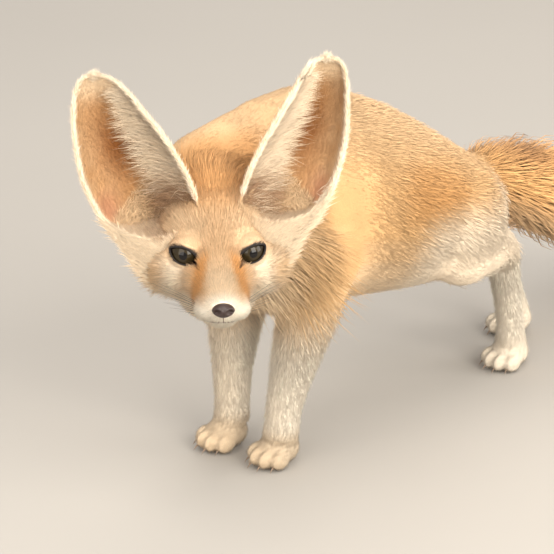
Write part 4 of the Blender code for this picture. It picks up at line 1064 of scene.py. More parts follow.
def floor_material(colour):
    """A pale matt floor, very slightly uneven in tone."""
    material, tree, shader = start_material("floor")
    toned(tree, shader, add_node(tree, "ShaderNodeTexCoord"), 3.0, 4.0, colour, (0.97, 1.03))
    shader.inputs["Roughness"].default_value = 0.9
    return material


# Ears

def ear_sheet(name):
    """A function from places on the ear, base to tip and inner to outer edge, to points of its cup."""
    shape = EARS[name]
    medial, lateral, back = [smooth_line(shape[key], 101) for key in ("medial", "lateral", "back")]
    shift = np.array(shape["shift"])

    def at(u, v):
        steps = np.arange(101) / 100.0
        inner, outer, deep = [np.stack([np.interp(u, steps, line[:, axis]) for axis in range(3)], axis=-1)
                              for line in (medial, lateral, back)]
        centre = (inner + outer) / 2
        angle = (math.pi * v)[..., None]
        point = centre + (inner - centre) * np.cos(angle) + EAR_CUP * (deep - centre) * np.sin(angle)
        inward = unit(centre - deep)
        fold = 0.0011 * np.exp(-((v - 0.70) / 0.035) ** 2) + 0.0009 * np.exp(-((v - 0.83) / 0.03) ** 2)
        fold = fold * (1.0 - ramp(u, 0.25, 0.60)) * ramp(u, 0.02, 0.08)
        rim = 0.0012 * (np.exp(-(v / 0.05) ** 2) - np.exp(-((1.0 - v) / 0.05) ** 2))
        point = point + inward * fold[..., None] + unit(outer - inner) * rim[..., None]
        return (point + shift) @ np.array(HEAD_TURN.to_3x3()).T + np.array(HEAD_AT)
    return at


def grid_mesh(name, sheet, rows, columns, reach, scale):
    """A grid laid on a sheet, with its places on the sheet as its unwrap, and those places."""
    bm = bmesh.new()
    bmesh.ops.create_grid(bm, x_segments=rows, y_segments=columns, size=0.5)
    flat = np.array([vert.co for vert in bm.verts]) + 0.5
    u, v = np.clip(flat[:, 0], 0.0, 1.0) * reach, np.clip(flat[:, 1], 0.0, 1.0)
    layer = bm.loops.layers.uv.new("OFBake")
    bm.verts.index_update()
    for vert, point in zip(bm.verts, sheet(u, v)):
        vert.co = point
    for face in bm.faces:
        for loop in face.loops:
            i = loop.vert.index
            loop[layer].uv = (UV_EDGE + scale[0] * u[i], UV_EDGE + scale[1] * v[i])
    return plain_mesh(name, bm), u, v


def ear_mesh(name):
    """The cup of an ear as an open grid."""
    return grid_mesh(name, ear_sheet(name), EAR_ROWS, EAR_COLUMNS, 0.995, EAR_UV)[0]


def ear_uv(u, v):
    """Where places on the ear lie in its unwrap."""
    return np.stack([UV_EDGE + EAR_UV[0] * u, UV_EDGE + EAR_UV[1] * v], axis=1)


def thicken(mesh, name, offset):
    """A sheet as a thin closed wall, still to be unwrapped."""
    wall = with_modifiers(mesh, ("SOLIDIFY", {"thickness": EAR_WALL, "offset": offset, "use_even_offset": False}))
    wall.uv_layers.remove(wall.uv_layers["OFBake"])
    wall.name = name
    wall.shade_smooth()
    return wall


def build_ears(context):
    for name in EARS:
        wall = thicken(ear_mesh(name), f"{name}_skin", 0.0)
        points, normals = read(wall), read(wall, "normal")
        inside = ear_inside(name, points, normals)
        give_colours(wall, ear_skin_colours(points, ear_places(name, points), inside))
        unwrap(new_piece(f"{name}_skin", wall, (name,), skin_material()))


def ear_places(name, points):
    """Place of each point on the ear: from base to tip, and from the inner to the outer edge."""
    u, v = np.meshgrid(np.linspace(0.0, 0.995, 90), np.linspace(0.0, 1.0, 50), indexing="ij")
    samples = ear_sheet(name)(u.ravel(), v.ravel())
    tree = KDTree(len(samples))
    for i, sample in enumerate(samples):
        tree.insert(sample, i)
    tree.balance()
    found = [tree.find(point)[1] for point in points]
    return np.stack([u.ravel()[found], v.ravel()[found]], axis=1)


def ear_inside(name, points, normals):
    """1 on the inner face of the cup and 0 on its back."""
    shape, sheet, step = EARS[name], ear_sheet(name), 0.004
    centre = (smooth_line(shape["medial"], 101) + smooth_line(shape["lateral"], 101)) / 2
    inward = head_ways(unit(centre - smooth_line(shape["back"], 101) + 1e-6))
    u, v = ear_places(name, points).T

    def facing(v):
        along = sheet(np.clip(u + step, 0, 0.99), v) - sheet(np.clip(u - step, 0, 0.99), v)
        return unit(np.cross(along, sheet(u, v + step) - sheet(u, v - step)))
    middle_way = np.stack([np.interp(u, np.arange(101) / 100.0, inward[:, axis]) for axis in range(3)], axis=1)
    sign = np.sign(np.sum(facing(np.full_like(u, 0.5)) * middle_way, axis=1))
    return (np.sum(normals * facing(np.clip(v, 0.02, 0.98)) * sign[:, None], axis=1) > 0.0).astype(float)


def ear_skin_colours(points, place, inside):
    """The cup's colours inside, with the painted shade of its hollow, and sand outside."""
    u, v = place[:, 0], place[:, 1]
    colours = ear_inner_colours(u, v, points) * 0.9
    outer = np.tile(blend(COAT["sand"], COAT["cream"], 0.3), (len(place), 1))
    return blend(outer, colours, inside[:, None])


# Pieces

def build_skin(context):
    mesh = skin_mesh()
    mesh.name = "skin"
    mesh.shade_smooth()
    give_colours(mesh, skin_colours(read(mesh), read(mesh, "normal")))
    mesh.materials.clear()
    unwrap(new_piece("skin", mesh, FLESH, skin_material()))


def skin_colours(points, normals):
    """The coat's markings, with their painted highlight and shade, a little darker, with black lids and dark lips."""
    colours = coat_colours(points, normals) * 0.86
    head = head_places(points)
    eyes = np.zeros(len(points))
    for side in (-1, 1):
        local = eye_places(points, side)
        away = np.hypot(local[:, 0] / (EYE_OPENING[0] + 0.0008), local[:, 2] / (EYE_OPENING[1] + 0.0007))
        eyes = np.maximum(eyes, (1.0 - ramp(away, 1.0, 1.10)) * (local[:, 1] < 0.0))
        eyes = np.maximum(eyes, duct_share(local, side))
    lips = (1.0 - ramp(np.abs(head[:, 2] + 0.0246), 0.0006, 0.0018)) * (1.0 - ramp(head[:, 1], -0.024, -0.016))
    return mix_in(colours, ("black", 0.95 * eyes), ("dark", 0.85 * lips))


def unwrap(piece):
    """Unwrap a piece's own shape into islands that don't overlap."""
    layer = piece.data.uv_layers.new(name="OFBake")
    piece.data.uv_layers.active = layer
    view = bpy.context.view_layer
    for other in view.objects:
        other.select_set(False)
    piece.select_set(True)
    view.objects.active = piece
    bpy.ops.object.mode_set(mode="EDIT")
    bpy.ops.mesh.select_all(action="SELECT")
    bpy.ops.uv.smart_project(angle_limit=math.radians(66.0), island_margin=0.004)
    bpy.ops.object.mode_set(mode="OBJECT")


def build_eyes(context):
    settings = context.scene.fennec_eyes
    material = eye_material(tuple(settings.iris), settings.pupil)
    for side, node in ((1, "eye_left"), (-1, "eye_right")):
        bm = bmesh.new()
        bmesh.ops.create_uvsphere(bm, u_segments=64, v_segments=48, radius=EYE_R)
        bmesh.ops.rotate(bm, verts=bm.verts, matrix=Matrix.Rotation(math.radians(90.0), 3, "X"))
        for vert in bm.verts:
            flat = math.hypot(vert.co.x, vert.co.z)
            if vert.co.y < 0.0:
                vert.co.y -= CORNEA_HEIGHT * max(0.0, 1.0 - (flat / CORNEA_R) ** 2)
        mesh = mesh_from(f"{node}_ball", bm)
        local = read(mesh)
        away = np.where(local[:, 1] < 0.0, np.hypot(local[:, 0], local[:, 2]) / EYE_R, 1.0)
        mesh.attributes.new("Away", "FLOAT", "POINT").data.foreach_set("value", away.astype(np.float32))
        angle = np.arctan2(local[:, 2], local[:, 0])
        give_ways(mesh, np.stack([3 * np.cos(angle), 3 * np.sin(angle), 0.3 * away], axis=1), "Spokes")
        mesh.transform(eye_matrix(side))
        new_piece(f"{node}_ball", mesh, (node,), material)


def build_lids(context):
    """The dark rims of the lids, drawn out at the inner corner into the line of the tear duct."""
    rim = context.scene.fennec_eyes.rim
    bm = bmesh.new()
    for side in (-1, 1):
        place = eye_matrix(side)
        points, sizes = [], []
        for i in range(49):
            angle = 2 * math.pi * i / 48
            x, z = almond(angle, side, 0.0001)
            inner = max(0.0, -side * math.cos(angle))
            outer = max(0.0, side * math.cos(angle))
            radius = EYE_R + LID_GAP + RIM_LIFT
            y = -math.sqrt(max(0.0, radius ** 2 - x * x - z * z))
            points.append(place @ Vector((x, y, z)))
            sizes.append(rim * (1.0 + 0.8 * inner ** 3 + 0.4 * outer ** 4 + (0.35 if z > 0.0 else 0.0)))
        tube(bm, points, sizes, 10, flat=place.to_3x3() @ Vector((0, -1, 0)))
        duct, widths = [], []
        for i in range(9):
            share = i / 8
            x, z = almond(math.pi if side > 0 else 0.0, side)
            spot = Vector((x - side * 0.0042 * share, 0.0, z - 0.0018 * share))
            spot.y = -math.sqrt(max(0.0, (EYE_R + 0.0011) ** 2 - min(spot.x ** 2 + spot.z ** 2, (EYE_R + 0.001) ** 2)))
            spot.y -= 0.0009 + 0.0016 * share
            duct.append(place @ spot)
            widths.append(rim * (1.9 * (1.0 - share) + 0.3))
        tube(bm, duct, widths, 8)
    new_piece("lid_rims", mesh_from("lid_rims", bm),
              material=bare_material("lid_rim", linear(24, 17, 15), 0.75, 2600.0, 0.0001))


def build_nose(context):
    settings = context.scene.fennec_nose
    bm = bmesh.new()
    bmesh.ops.create_uvsphere(bm, u_segments=72, v_segments=48, radius=1.0)
    for vert in bm.verts:
        x, y, z = vert.co
        front = max(0.0, -y)
        wide = 1.0 - 0.30 * max(0.0, -z) ** 1.5
        x = math.copysign(abs(x) ** 0.90, x) * wide
        z = z * (1.0 - 0.12 * x * x)
        groove = 0.10 * math.exp(-(x / 0.10) ** 2) * front * (1.0 - 0.6 * max(0.0, z))
        point = Vector((x * NOSE_SIZE[0], (y + groove) * NOSE_SIZE[1], z * NOSE_SIZE[2]))
        for side in (-1, 1):
            away = Vector(((point.x - side * NOSTRIL_AT.x) / NOSTRIL_SIZE[0], 0.0,
                           (point.z - NOSTRIL_AT.z) / NOSTRIL_SIZE[1]))
            slit = Vector(((point.x - side * SLIT_AT[0]) / SLIT_SIZE[0], 0.0, (point.z - SLIT_AT[1]) / SLIT_SIZE[1]))
            deep = NOSTRIL_DEPTH * math.exp(-away.length_squared) + SLIT_DEPTH * math.exp(-slit.length_squared)
            wing = WING_HEIGHT * math.exp(-(away.length - 1.9) ** 2 * 2.0)
            if point.y < 0.0:
                point.y += deep - wing
        vert.co = point
    mesh = mesh_from("nose_pad", bm)
    mesh.transform(HEAD @ Matrix.Translation(NOSE_AT))
    new_piece("nose_pad", mesh, ("nose",),
              bare_material("nose", tuple(settings.colour), 0.46, 1900.0, 0.00012, 0.10))
    # The lips: a soft brown line in the groove of the mouth, and the short line down from the nose.
    lips = bmesh.new()
    tube(lips, mouth_line(33), [0.00010 + 0.00038 * math.sin(math.pi * i / 32) ** 2 for i in range(33)], 8)
    drop = [HEAD @ Vector((0.0, -0.0440 + 0.0032 * i / 6, -0.0196 - 0.0044 * i / 6)) for i in range(7)]
    tube(lips, drop, [0.00022] * 7, 8)
    new_piece("lips", mesh_from("lips", lips),
              material=bare_material("lip", linear(112, 78, 64), 0.45, 2200.0, 0.0001, 0.2))


def build_claws(context):
    bm = bmesh.new()
    for foot in feet():
        for side in (-1, 1):
            for across, front in TOES:
                points, sizes = [], []
                for i in range(7):
                    share = i / 6
                    points.append(foot @ Vector((side * across * (1 + 0.04 * share),
                                                 front - CLAW_START - CLAW_LENGTH * share,
                                                 CLAW_TOP - CLAW_DROP * share ** 1.6)))
                    sizes.append(CLAW_R * (1.0 - 0.86 * share))
                tube(bm, points, sizes, 8)
    new_piece("claws", mesh_from("claws", bm),
              material=bare_material("claw", linear(128, 106, 86), 0.35, 900.0, 0.00005, 0.2))


def skin_data():
    """The skin's mesh and its points."""
    mesh = bpy.data.objects["skin"].data
    return mesh, read(mesh)


def keep_clear(points):
    """0 where no hair grows: the rims of the eyes, their sockets, the nose and the line of the mouth."""
    head = head_places(points)
    clear = np.ones(len(points))
    for side in (-1, 1):
        local = eye_places(points, side)
        clear *= 1.0 - (duct_share(local, side) > 0.6)
        away = np.hypot(local[:, 0] / (EYE_OPENING[0] + 0.0006), local[:, 2] / (EYE_OPENING[1] + 0.0004))
        clear *= np.where((away < 1.0) & (local[:, 1] < 0.002), 0.0, 1.0)
        clear *= np.linalg.norm(local, axis=1) > EYE_R + 0.0005
    nose = np.linalg.norm((head - np.array(NOSE_AT)) / (np.array(NOSE_SIZE) * 1.02), axis=1)
    clear *= nose > 1.0
    lips = (np.abs(head[:, 2] + 0.0246) < 0.0007) & (head[:, 1] < -0.016)
    return clear * np.where(lips, 0.0, 1.0)


def body_lengths(place, normal, length):
    """Hair is longest on the chest and flanks, and short on the nape, under the belly and where the legs begin."""
    body = body_places(place)
    lengths = np.full(len(place), length)
    chest = (1.0 - ramp(body[:, 1], -0.010, 0.040)) * (1.0 - ramp(body[:, 2], 0.140, 0.175))
    nape = (1.0 - ramp(body[:, 1], 0.000, 0.040)) * ramp(body[:, 2], 0.165, 0.190)
    knee = ramp(body[:, 1], 0.100, 0.128) * (1.0 - ramp(body[:, 1], 0.22, 0.24))
    knee *= 1.0 - ramp(body[:, 2], 0.094, 0.118)
    shoulder = (1.0 - ramp(body[:, 1], 0.045, 0.080)) * (1.0 - ramp(body[:, 2], 0.165, 0.200))
    lengths *= 1.0 + 0.05 * chest - 0.42 * nape - 0.35 * ramp(-normal[:, 2], 0.2, 0.9)
    lengths *= (1.0 - 0.40 * head_weight(place)) * (1.0 - 0.55 * knee) * (1.0 - 0.60 * shoulder)
    return lengths * (1.0 - 0.60 * leg_weight(place))


def build_body_coat(context):
    settings = context.scene.fennec_coat
    mesh, points = skin_data()
    weights = (1.0 - leg_weight(points)) * (1.0 - head_weight(points)) * (1.0 - tail_weight(points))
    weights *= 1.0 + 0.6 * (1.0 - ramp(body_places(points)[:, 1], 0.035, 0.075))
    jobs = (("coat_under", settings.under_tufts, 0.74, 0.046, 1, (0.24, 0.12), 3),
            ("coat_body", settings.body_tufts, 1.0, 0.036, 2, (settings.lift, 0.08), 5))
    for name, count, share, width, sections, lifts, seed in jobs:
        roots = plant(mesh, weights, count, seed)
        place, normal = roots[:2]
        lengths = body_lengths(place, normal, settings.body_length * share)
        colours = coat_colours(place, normal) * (0.93 + 0.14 * cloud(place, 0.014, 1))[:, None]
        fleck = (cloud(place, 0.0016, 2) > 0.80) * ramp(normal[:, 2], 0.0, 0.7)
        tips = colours + (COAT["brown"] - colours) * (0.25 * fleck)[:, None]
        front = 1.0 - ramp(body_places(place)[:, 1], 0.035, 0.075)
        lengths *= 1.0 - 0.30 * front
        start = lifts[0] * (1.0 - 0.60 * front)
        tufts(name, roots, coat_ways(place, normal), lengths, np.clip(lengths * width, 0.0003, 0.0007),
              (start, lifts[1]), colours, sections=sections, seed=seed + 2,
              wander=0.11, tip_colours=tips, vary=0.04, curl=0.07)


def build_face_coat(context):
    settings = context.scene.fennec_coat
    mesh, points = skin_data()
    head = head_places(points)
    weights = head_weight(points) * keep_clear(points)
    weights *= 1.0 + 2.2 * (1.0 - ramp(head[:, 1], -0.030, 0.004))
    roots = plant(mesh, weights, settings.face_tufts, 7)
    place, normal = roots[:2]
    head = head_places(place)
    x, y, z = np.abs(head[:, 0]), head[:, 1], head[:, 2]
    lengths = np.full(len(place), settings.face_length)
    lengths *= blend(0.42, 1.0, ramp(y, -0.038, 0.010))
    cheek = ramp(x, 0.016, 0.028) * ramp(-z, -0.006, 0.010) * ramp(y, 0.000, 0.016)
    lengths *= 1.0 + 1.5 * cheek
    lengths *= 1.0 + 0.8 * ramp(y, 0.024, 0.040)
    for side in (-1, 1):
        away = np.linalg.norm(place - np.array(eye_matrix(side).translation), axis=1)
        lengths *= blend(0.36, 1.0, ramp(away, 0.0092, 0.0170))
    colours = coat_colours(place, normal)
    for side in (-1, 1):
        colours = mix_in(colours, ("dark", 0.8 * duct_share(eye_places(place, side), side)))
    colours *= (0.92 + 0.16 * cloud(place, 0.006, 3))[:, None]
    speck = (cloud(place, 0.0011, 4) > 0.66) * ramp(z, -0.016, -0.004) * (1.0 - ramp(x, 0.016, 0.028))
    speck = speck * ramp(y, -0.018, 0.000)
    tips = colours + (COAT["brown"] - colours) * (0.30 * speck)[:, None]
    tufts("coat_face", roots, coat_ways(place, normal), lengths, np.clip(lengths * 0.075, 0.00022, 0.0006),
          (0.42, 0.15), colours, sections=1, seed=9, wander=0.14, tip_colours=tips, sink=0.0002, vary=0.10)


def build_leg_coat(context):
    settings = context.scene.fennec_coat
    mesh, points = skin_data()
    weights = leg_weight(points) * np.where(points[:, 2] < 0.0016, 0.15, 1.0)
    roots = plant(mesh, weights, settings.leg_tufts, 13)
    place, normal = roots[:2]
    lengths = blend(0.0042, 0.0085, ramp(body_places(place)[:, 2], 0.035, 0.105))
    lengths = blend(lengths, 0.0030, paw_weight(place))
    colours = coat_colours(place, normal) * (0.94 + 0.12 * cloud(place, 0.006, 5))[:, None]
    tufts("coat_legs", roots, coat_ways(place, normal), lengths, np.clip(lengths * 0.085, 0.00028, 0.0006),
          (0.36, 0.12), colours, sections=1, seed=15, wander=0.16, sink=0.0002)


def build_tail_coat(context):
    settings = context.scene.fennec_coat
    mesh, points = skin_data()
    roots = plant(mesh, tail_weight(points), settings.tail_tufts, 17)
    place, normal = roots[:2]
    body = body_places(place)
    centres = np.array([centre for centre, _ in TAIL])
    radii = np.array([radius for _, radius in TAIL])
    ahead = np.interp(body[:, 1] + 0.020, centres[:, 1], radii)
    here = np.interp(body[:, 1], centres[:, 1], radii)
    lengths = settings.tail_length * np.clip(ahead / 0.032, 0.62, 1.1)
    lengths = np.minimum(lengths, blend(0.012, settings.tail_length, ramp(body[:, 1], 0.190, 0.250)))
    rise = np.clip((ahead - here * CORE) / np.maximum(lengths, 1e-4), 0.05, 0.75)
    colours = tail_colours(body, normal) * (0.88 + 0.24 * cloud(place, 0.010, 6))[:, None]
    tips = tail_colours(body + np.array([0.0, 0.018, 0.0]), normal)
    tufts("coat_tail", roots, coat_ways(place, normal), lengths, lengths * 0.030, (np.arcsin(rise) * 1.35, 0.12),
          colours, sections=3, seed=19, wander=0.10, tip_colours=tips, curl=0.14)


def base_sheet(name):
    """The furred front of the ear's base, below its opening: across from the inner edge, and up to the opening."""
    sheet = ear_sheet(name)

    def at(s, w):
        dip = EAR_DIP * np.sin(math.pi * np.clip(w, 0.0, 1.0)) ** 0.8
        top = 0.20 + (0.17 if name == "ear_right" else 0.19) * w - dip
        turn = ramp(s, 1.0, 1.4)
        u = np.minimum(s, 1.0) * top * (1.0 + 0.12 * turn)
        inner, outer = sheet(u, np.zeros_like(u)), sheet(u, np.ones_like(u))
        chord = blend(inner, outer, w[:, None])
        deep = sheet(u, np.clip(w, 0.05, 0.95))
        forward = unit(chord - sheet(u, np.full_like(u, 0.5)) + 1e-6)
        bulge = 0.0050 * np.sin(math.pi * np.clip(w, 0.0, 1.0)) * np.sin(math.pi * np.clip(s, 0.0, 1.1) / 2.2 + 0.2)
        return blend(chord + forward * bulge[:, None], deep, turn[:, None])
    return at


def build_ear_bases(context):
    for number, name in enumerate(EARS):
        sheet = base_sheet(name)
        mesh, s, w = grid_mesh(f"{name}_base", sheet, BASE_ROWS, BASE_COLUMNS, BASE_REACH, BASE_UV)
        mesh.shade_smooth()
        if np.mean(read(mesh, "normal") @ head_ways(np.array([0.0, -1.0, 0.0]))) < 0.0:
            mesh.flip_normals()
        wall = mesh.copy()
        points = read(mesh)
        give_colours(wall, base_colours(s, w, points, name) * 0.85)
        unwrap(new_piece(f"{name}_base", thicken(wall, f"{name}_base", -1.0), material=skin_material()))
        place, normal, uv = plant(mesh, np.ones(len(points)), EAR_TUFTS["base"], 71 + number)
        s, w = (uv[:, 0] - UV_EDGE) / BASE_UV[0], (uv[:, 1] - UV_EDGE) / BASE_UV[1]
        up = unit(sheet(s + 0.02, w) - sheet(s - 0.02, w))
        across = unit(sheet(s, np.clip(w + 0.03, 0, 1)) - sheet(s, np.clip(w - 0.03, 0, 1)))
        ways = unit(up * 0.9 + across * (1.3 * (w - 0.35))[:, None])
        lengths = EAR_HAIR["base"] * (1.0 + 0.9 * ramp(w, 0.78, 1.0)) * (1.0 - 0.25 * ramp(s, 1.0, 1.4))
        lengths *= blend(0.6, 1.0, ramp(s, 0.0, 0.3))
        tufts(f"coat_{name}_base", (place, normal, uv), ways, lengths, lengths * 0.075, (0.34, 0.08),
              base_colours(s, w, place, name), sections=1, seed=73 + number, wander=0.20, curl=0.10)


def base_colours(s, w, place, name):
    """White cheek fur, sandy towards the crown, and mottled brown where it meets the cup."""
    strong = 1.0 if name == "ear_right" else 0.55
    tangle = ramp(s, 0.80, 1.02) * (1.0 - ramp(w, 0.50, 0.78))
    dark = tangle * (0.30 + 0.90 * ramp(cloud(place, 0.0016, 10), 0.30, 0.70))
    return mix_in(np.tile(blend(COAT["cream"], COAT["white"], 0.25), (len(s), 1)),
                  ("sand", 0.50 * (1.0 - ramp(w, 0.15, 0.55)) * ramp(s, 0.2, 0.7)), ("brown", strong * 0.62 * dark))


def build_ear_coat(context):
    for number, name in enumerate(EARS):
        sheet, mesh = ear_sheet(name), ear_mesh(name)
        points, normals = read(mesh), read(mesh, "normal")
        sign = 1.0 if np.mean(ear_inside(name, points, normals)) > 0.5 else -1.0
        for label, face, seed in (("inner", 1.0, 21), ("outer", -1.0, 23)):
            place, normal, uv = plant(mesh, np.ones(len(points)), EAR_TUFTS[label], seed + number)
            normal = normal * sign * face
            u, v = (uv[:, 0] - UV_EDGE) / EAR_UV[0], (uv[:, 1] - UV_EDGE) / EAR_UV[1]
            edge = np.minimum(v, 1.0 - v)
            up, across = edge_frame(sheet, u, v)
            place = place + normal * EAR_WALL * 0.4
            if face > 0:
                ways = unit(up + across * (0.9 * (1.0 - ramp(v, 0.2, 0.5)) - 0.5 * ramp(v, 0.75, 0.98))[:, None])
                colours = ear_inner_colours(u, v, place)
                lengths = blend(EAR_HAIR[label], 0.0052, 1.0 - ramp(edge, 0.03, 0.15))
                lifts = (0.30, 0.10)
                lit = unit(blend(normal, head_ways(LIT_WAY), 0.38 * (1.0 - ramp(v, 0.30, 0.50))[:, None]))
            else:
                uv = uv + np.array([0.0, 0.5])
                ways = unit(up)
                colours = mix_in(np.tile(blend(COAT["sand"], COAT["orange"], 0.25), (len(place), 1)),
                                 ("cream", 0.8 * (1.0 - ramp(edge, 0.02, 0.10))), ("cream", 0.6 * ramp(u, 0.85, 0.98)))
                lengths = np.full(len(place), EAR_HAIR[label])
                lifts = (0.28, 0.10)
                lit = unit(normal) * ramp(edge, 0.02, 0.14)[:, None]
            tufts(f"coat_{name}_{label}", (place, normal, uv), ways, lengths, lengths * 0.085, lifts, colours,
                  sections=1, seed=seed + 31, wander=0.2, sink=0.0001, lit=lit)
        grow_rim(name, sheet, number)
        grow_fringe(name, sheet, number)
        grow_tangle(name, sheet, number)


def ear_inner_colours(u, v, place):
    """Dark orange beside the long hair, darkened further as painted shade of the hollow, rosy by the lower outer edge,
    paler at the edges, and mottled at the base.
    """
    deep = np.exp(-((v - 0.52) / 0.14) ** 2 - ((u - 0.60) / 0.17) ** 2)
    edge = np.maximum(1.0 - ramp(np.minimum(v, 1.0 - v), 0.03, 0.18), ramp(u, 0.80, 0.95))
    tangle = (1.0 - ramp(u, 0.24, 0.38)) * (1.0 - ramp(v, 0.44, 0.62))
    dark = tangle * (0.40 + 0.60 * (cloud(place, 0.0030, 9) > 0.5))
    return mix_in(
        np.tile(COAT["peach"], (len(u), 1)), ("cream", 0.25 * cloud(place, 0.0060, 8) * ramp(v, 0.50, 0.80)),
        # The dark orange in the middle of the cup is the ear's own colour, darkened as painted shade of its hollow.
        ("shaded_rust", 0.95 * deep * (0.75 + 0.25 * cloud(place, 0.0030, 14))),
        ("rose", 0.60 * ramp(v, 0.60, 0.80) * (1.0 - ramp(u, 0.38, 0.48))), ("cream", 0.9 * edge),
        ("cream", 0.8 * (1.0 - ramp(v, 0.26, 0.42)) * ramp(u, 0.14, 0.30)),
        ("cream", 0.75 * (1.0 - ramp(u, 0.24, 0.36))), ("brown", 0.8 * dark))


def edge_frame(sheet, u, v):
    """The ways up and across an ear's sheet."""
    up = unit(sheet(np.clip(u + 0.01, 0, 0.99), v) - sheet(np.clip(u - 0.01, 0, 0.99), v))
    across = unit(sheet(u, np.clip(v + 0.02, 0, 1)) - sheet(u, np.clip(v - 0.02, 0, 1)))
    return up, across


def sheet_normals(sheet, u, v, name):
    """The ways up and across an ear's sheet, and its normal into the cup."""
    up, across = edge_frame(sheet, u, v)
    normal = unit(np.cross(up, across))
    inside = ear_inside(name, sheet(u, v), normal)
    return up, across, normal * np.where(inside > 0.5, 1.0, -1.0)[:, None]


def grow_rim(name, sheet, number):
    """Dense pale hair all round the edge of the ear."""
    draw = np.random.default_rng(41 + number)
    count = EAR_TUFTS["rim"]
    u = 0.22 + draw.random(count) * 0.76
    first = draw.random(count) < 0.5
    v = np.where(first, draw.random(count) * 0.035, 1.0 - draw.random(count) * 0.035)
    tip = draw.random(count) < 0.10
    u = np.where(tip, 0.96 + 0.03 * draw.random(count), u)
    v = np.where(tip, draw.random(count), v)
    up, across, normal = sheet_normals(sheet, u, v, name)
    out = np.where(tip[:, None], up, np.where(first[:, None], -across, across))
    angle = draw.uniform(0.0, math.pi, count)[:, None]
    round_edge = unit(normal * np.cos(angle) + out * np.sin(angle))
    ways = unit(up + across * draw.normal(0.0, 0.15, count)[:, None])
    ways = unit(ways - round_edge * np.sum(ways * round_edge, axis=1, keepdims=True) + 1e-6)
    lengths = np.full(count, EAR_HAIR["rim"])
    colours = np.tile(blend(COAT["cream"], COAT["white"], 0.60), (count, 1))
    tufts(f"coat_{name}_rim", (sheet(u, v) + round_edge * EAR_WALL * 0.4, round_edge, ear_uv(u, v)), ways, lengths,
          lengths * 0.09, (0.42, 0.1), colours, sections=1, seed=43 + number, wander=0.25, soft=0.12)


def grow_fringe(name, sheet, number):
    """Long pale hairs that cross the mouth of the ear from its inner edge, mottled brown at its base."""
    draw = np.random.default_rng(51 + number)
    count = EAR_TUFTS["fringe"]
    u = 0.06 + 0.80 * draw.random(count) ** 1.15
    v = 0.02 + 0.30 * draw.random(count) ** 1.1
    up, across, normal = sheet_normals(sheet, u, v, name)
    ways = unit(across * blend(0.95, 0.50, u)[:, None] + up * blend(0.25, 1.0, u)[:, None])
    lengths = EAR_HAIR["fringe"] * (1.0 - 0.45 * ramp(u, 0.55, 0.86)) * (0.55 + 0.7 * draw.random(count))
    place = sheet(u, v)
    dark = (1.0 - ramp(u, 0.24, 0.40)) * (cloud(place, 0.0030, 12) > 0.36)
    colours = mix_in(np.tile(blend(COAT["cream"], COAT["white"], 0.5), (count, 1)),
                     ("cream", 0.6 * cloud(place, 0.0040, 13)), ("brown", 0.80 * dark))
    tufts(f"coat_{name}_fringe", (place, normal, ear_uv(u, v)), ways, lengths, np.full(count, 0.00025), (0.70, 0.60),
          colours, sections=2, seed=53 + number, wander=0.34, sink=0.0002, curl=0.35,
          lit=unit(normal + 0.45 * head_ways(LIT_WAY)))


def grow_tangle(name, sheet, number):
    """Short hair that fills the bottom of the cup, mottled brown beside its inner edge."""
    draw = np.random.default_rng(91 + number)
    count = EAR_TUFTS["tangle"]
    u = 0.05 + 0.33 * draw.random(count)
    v = 0.02 + blend(0.92, 0.44, ramp(u, 0.27, 0.38)) * draw.random(count)
    outer = ramp(v, 0.40, 0.60)
    up, across, normal = sheet_normals(sheet, u, v, name)
    ways = unit(across * blend(0.8, -0.3, outer)[:, None] + up * draw.normal(0.35, 0.4, count)[:, None])
    place = sheet(u, v)
    lengths = EAR_HAIR["tangle"] * (0.6 + 0.6 * draw.random(count)) * (1.0 - 0.4 * ramp(u, 0.22, 0.34))
    dark = ramp(cloud(place, 0.0022, 15), 0.30, 0.62) * (1.0 - 0.5 * ramp(u, 0.26, 0.34)) * (1.0 - 0.75 * outer)
    colours = mix_in(np.tile(blend(COAT["cream"], COAT["sand"], 0.4), (count, 1)), ("brown", 0.88 * dark))
    tufts(f"coat_{name}_tangle", (place, normal, ear_uv(u, v)), ways, lengths, np.full(count, 0.00032), (0.75, 0.55),
          colours, sections=2, seed=93 + number, wander=0.45, sink=0.0002, curl=0.4,
          lit=unit(normal + 0.45 * head_ways(LIT_WAY)))


def build_ear_tufts(context):
    """A small kink of rim hair near the top of the left ear, and the white tuft at its outer base."""
    sheet = ear_sheet("ear_left")
    draw = np.random.default_rng(81)
    jobs = (("kink", 0.845, 0.0, 0.02, 900, 0.0074, 0.6, 0.5, 0.010, (0.30, 0.05), 0.26),
            ("tuft", 0.31, 1.0, 0.16, 1400, 0.0080, -0.2, -0.4, 0.045, (0.85, 0.45), 0.45))
    for label, at, edge, depth, count, length, rise, drop, spread, lifts, wander in jobs:
        u = np.clip(at + spread * draw.normal(0.0, 1.0, count), 0.05, 0.98)
        v = np.abs(edge - depth * draw.random(count))
        up, across, normal = sheet_normals(sheet, u, v, "ear_left")
        out = across if edge > 0.5 else -across
        ways = unit(rise * up + 0.9 * out + head_ways(np.array([[0.0, 0.0, drop]])))
        side = normal if edge > 0.5 else normal * np.where(draw.random(count) < 0.5, -1.0, 1.0)[:, None]
        colours = np.tile(blend(COAT["cream"], COAT["white"], 0.6), (count, 1))
        tufts(f"coat_ear_left_{label}", (sheet(u, v) + 0.0006 * out, side, ear_uv(u, v)), ways,
              np.full(count, length), np.full(count, 0.00035), lifts, colours, seed=83, wander=wander,
              lit=0.3 * unit(side + 1.5 * head_ways(np.array([[0.2, -0.9, 0.5]]))))


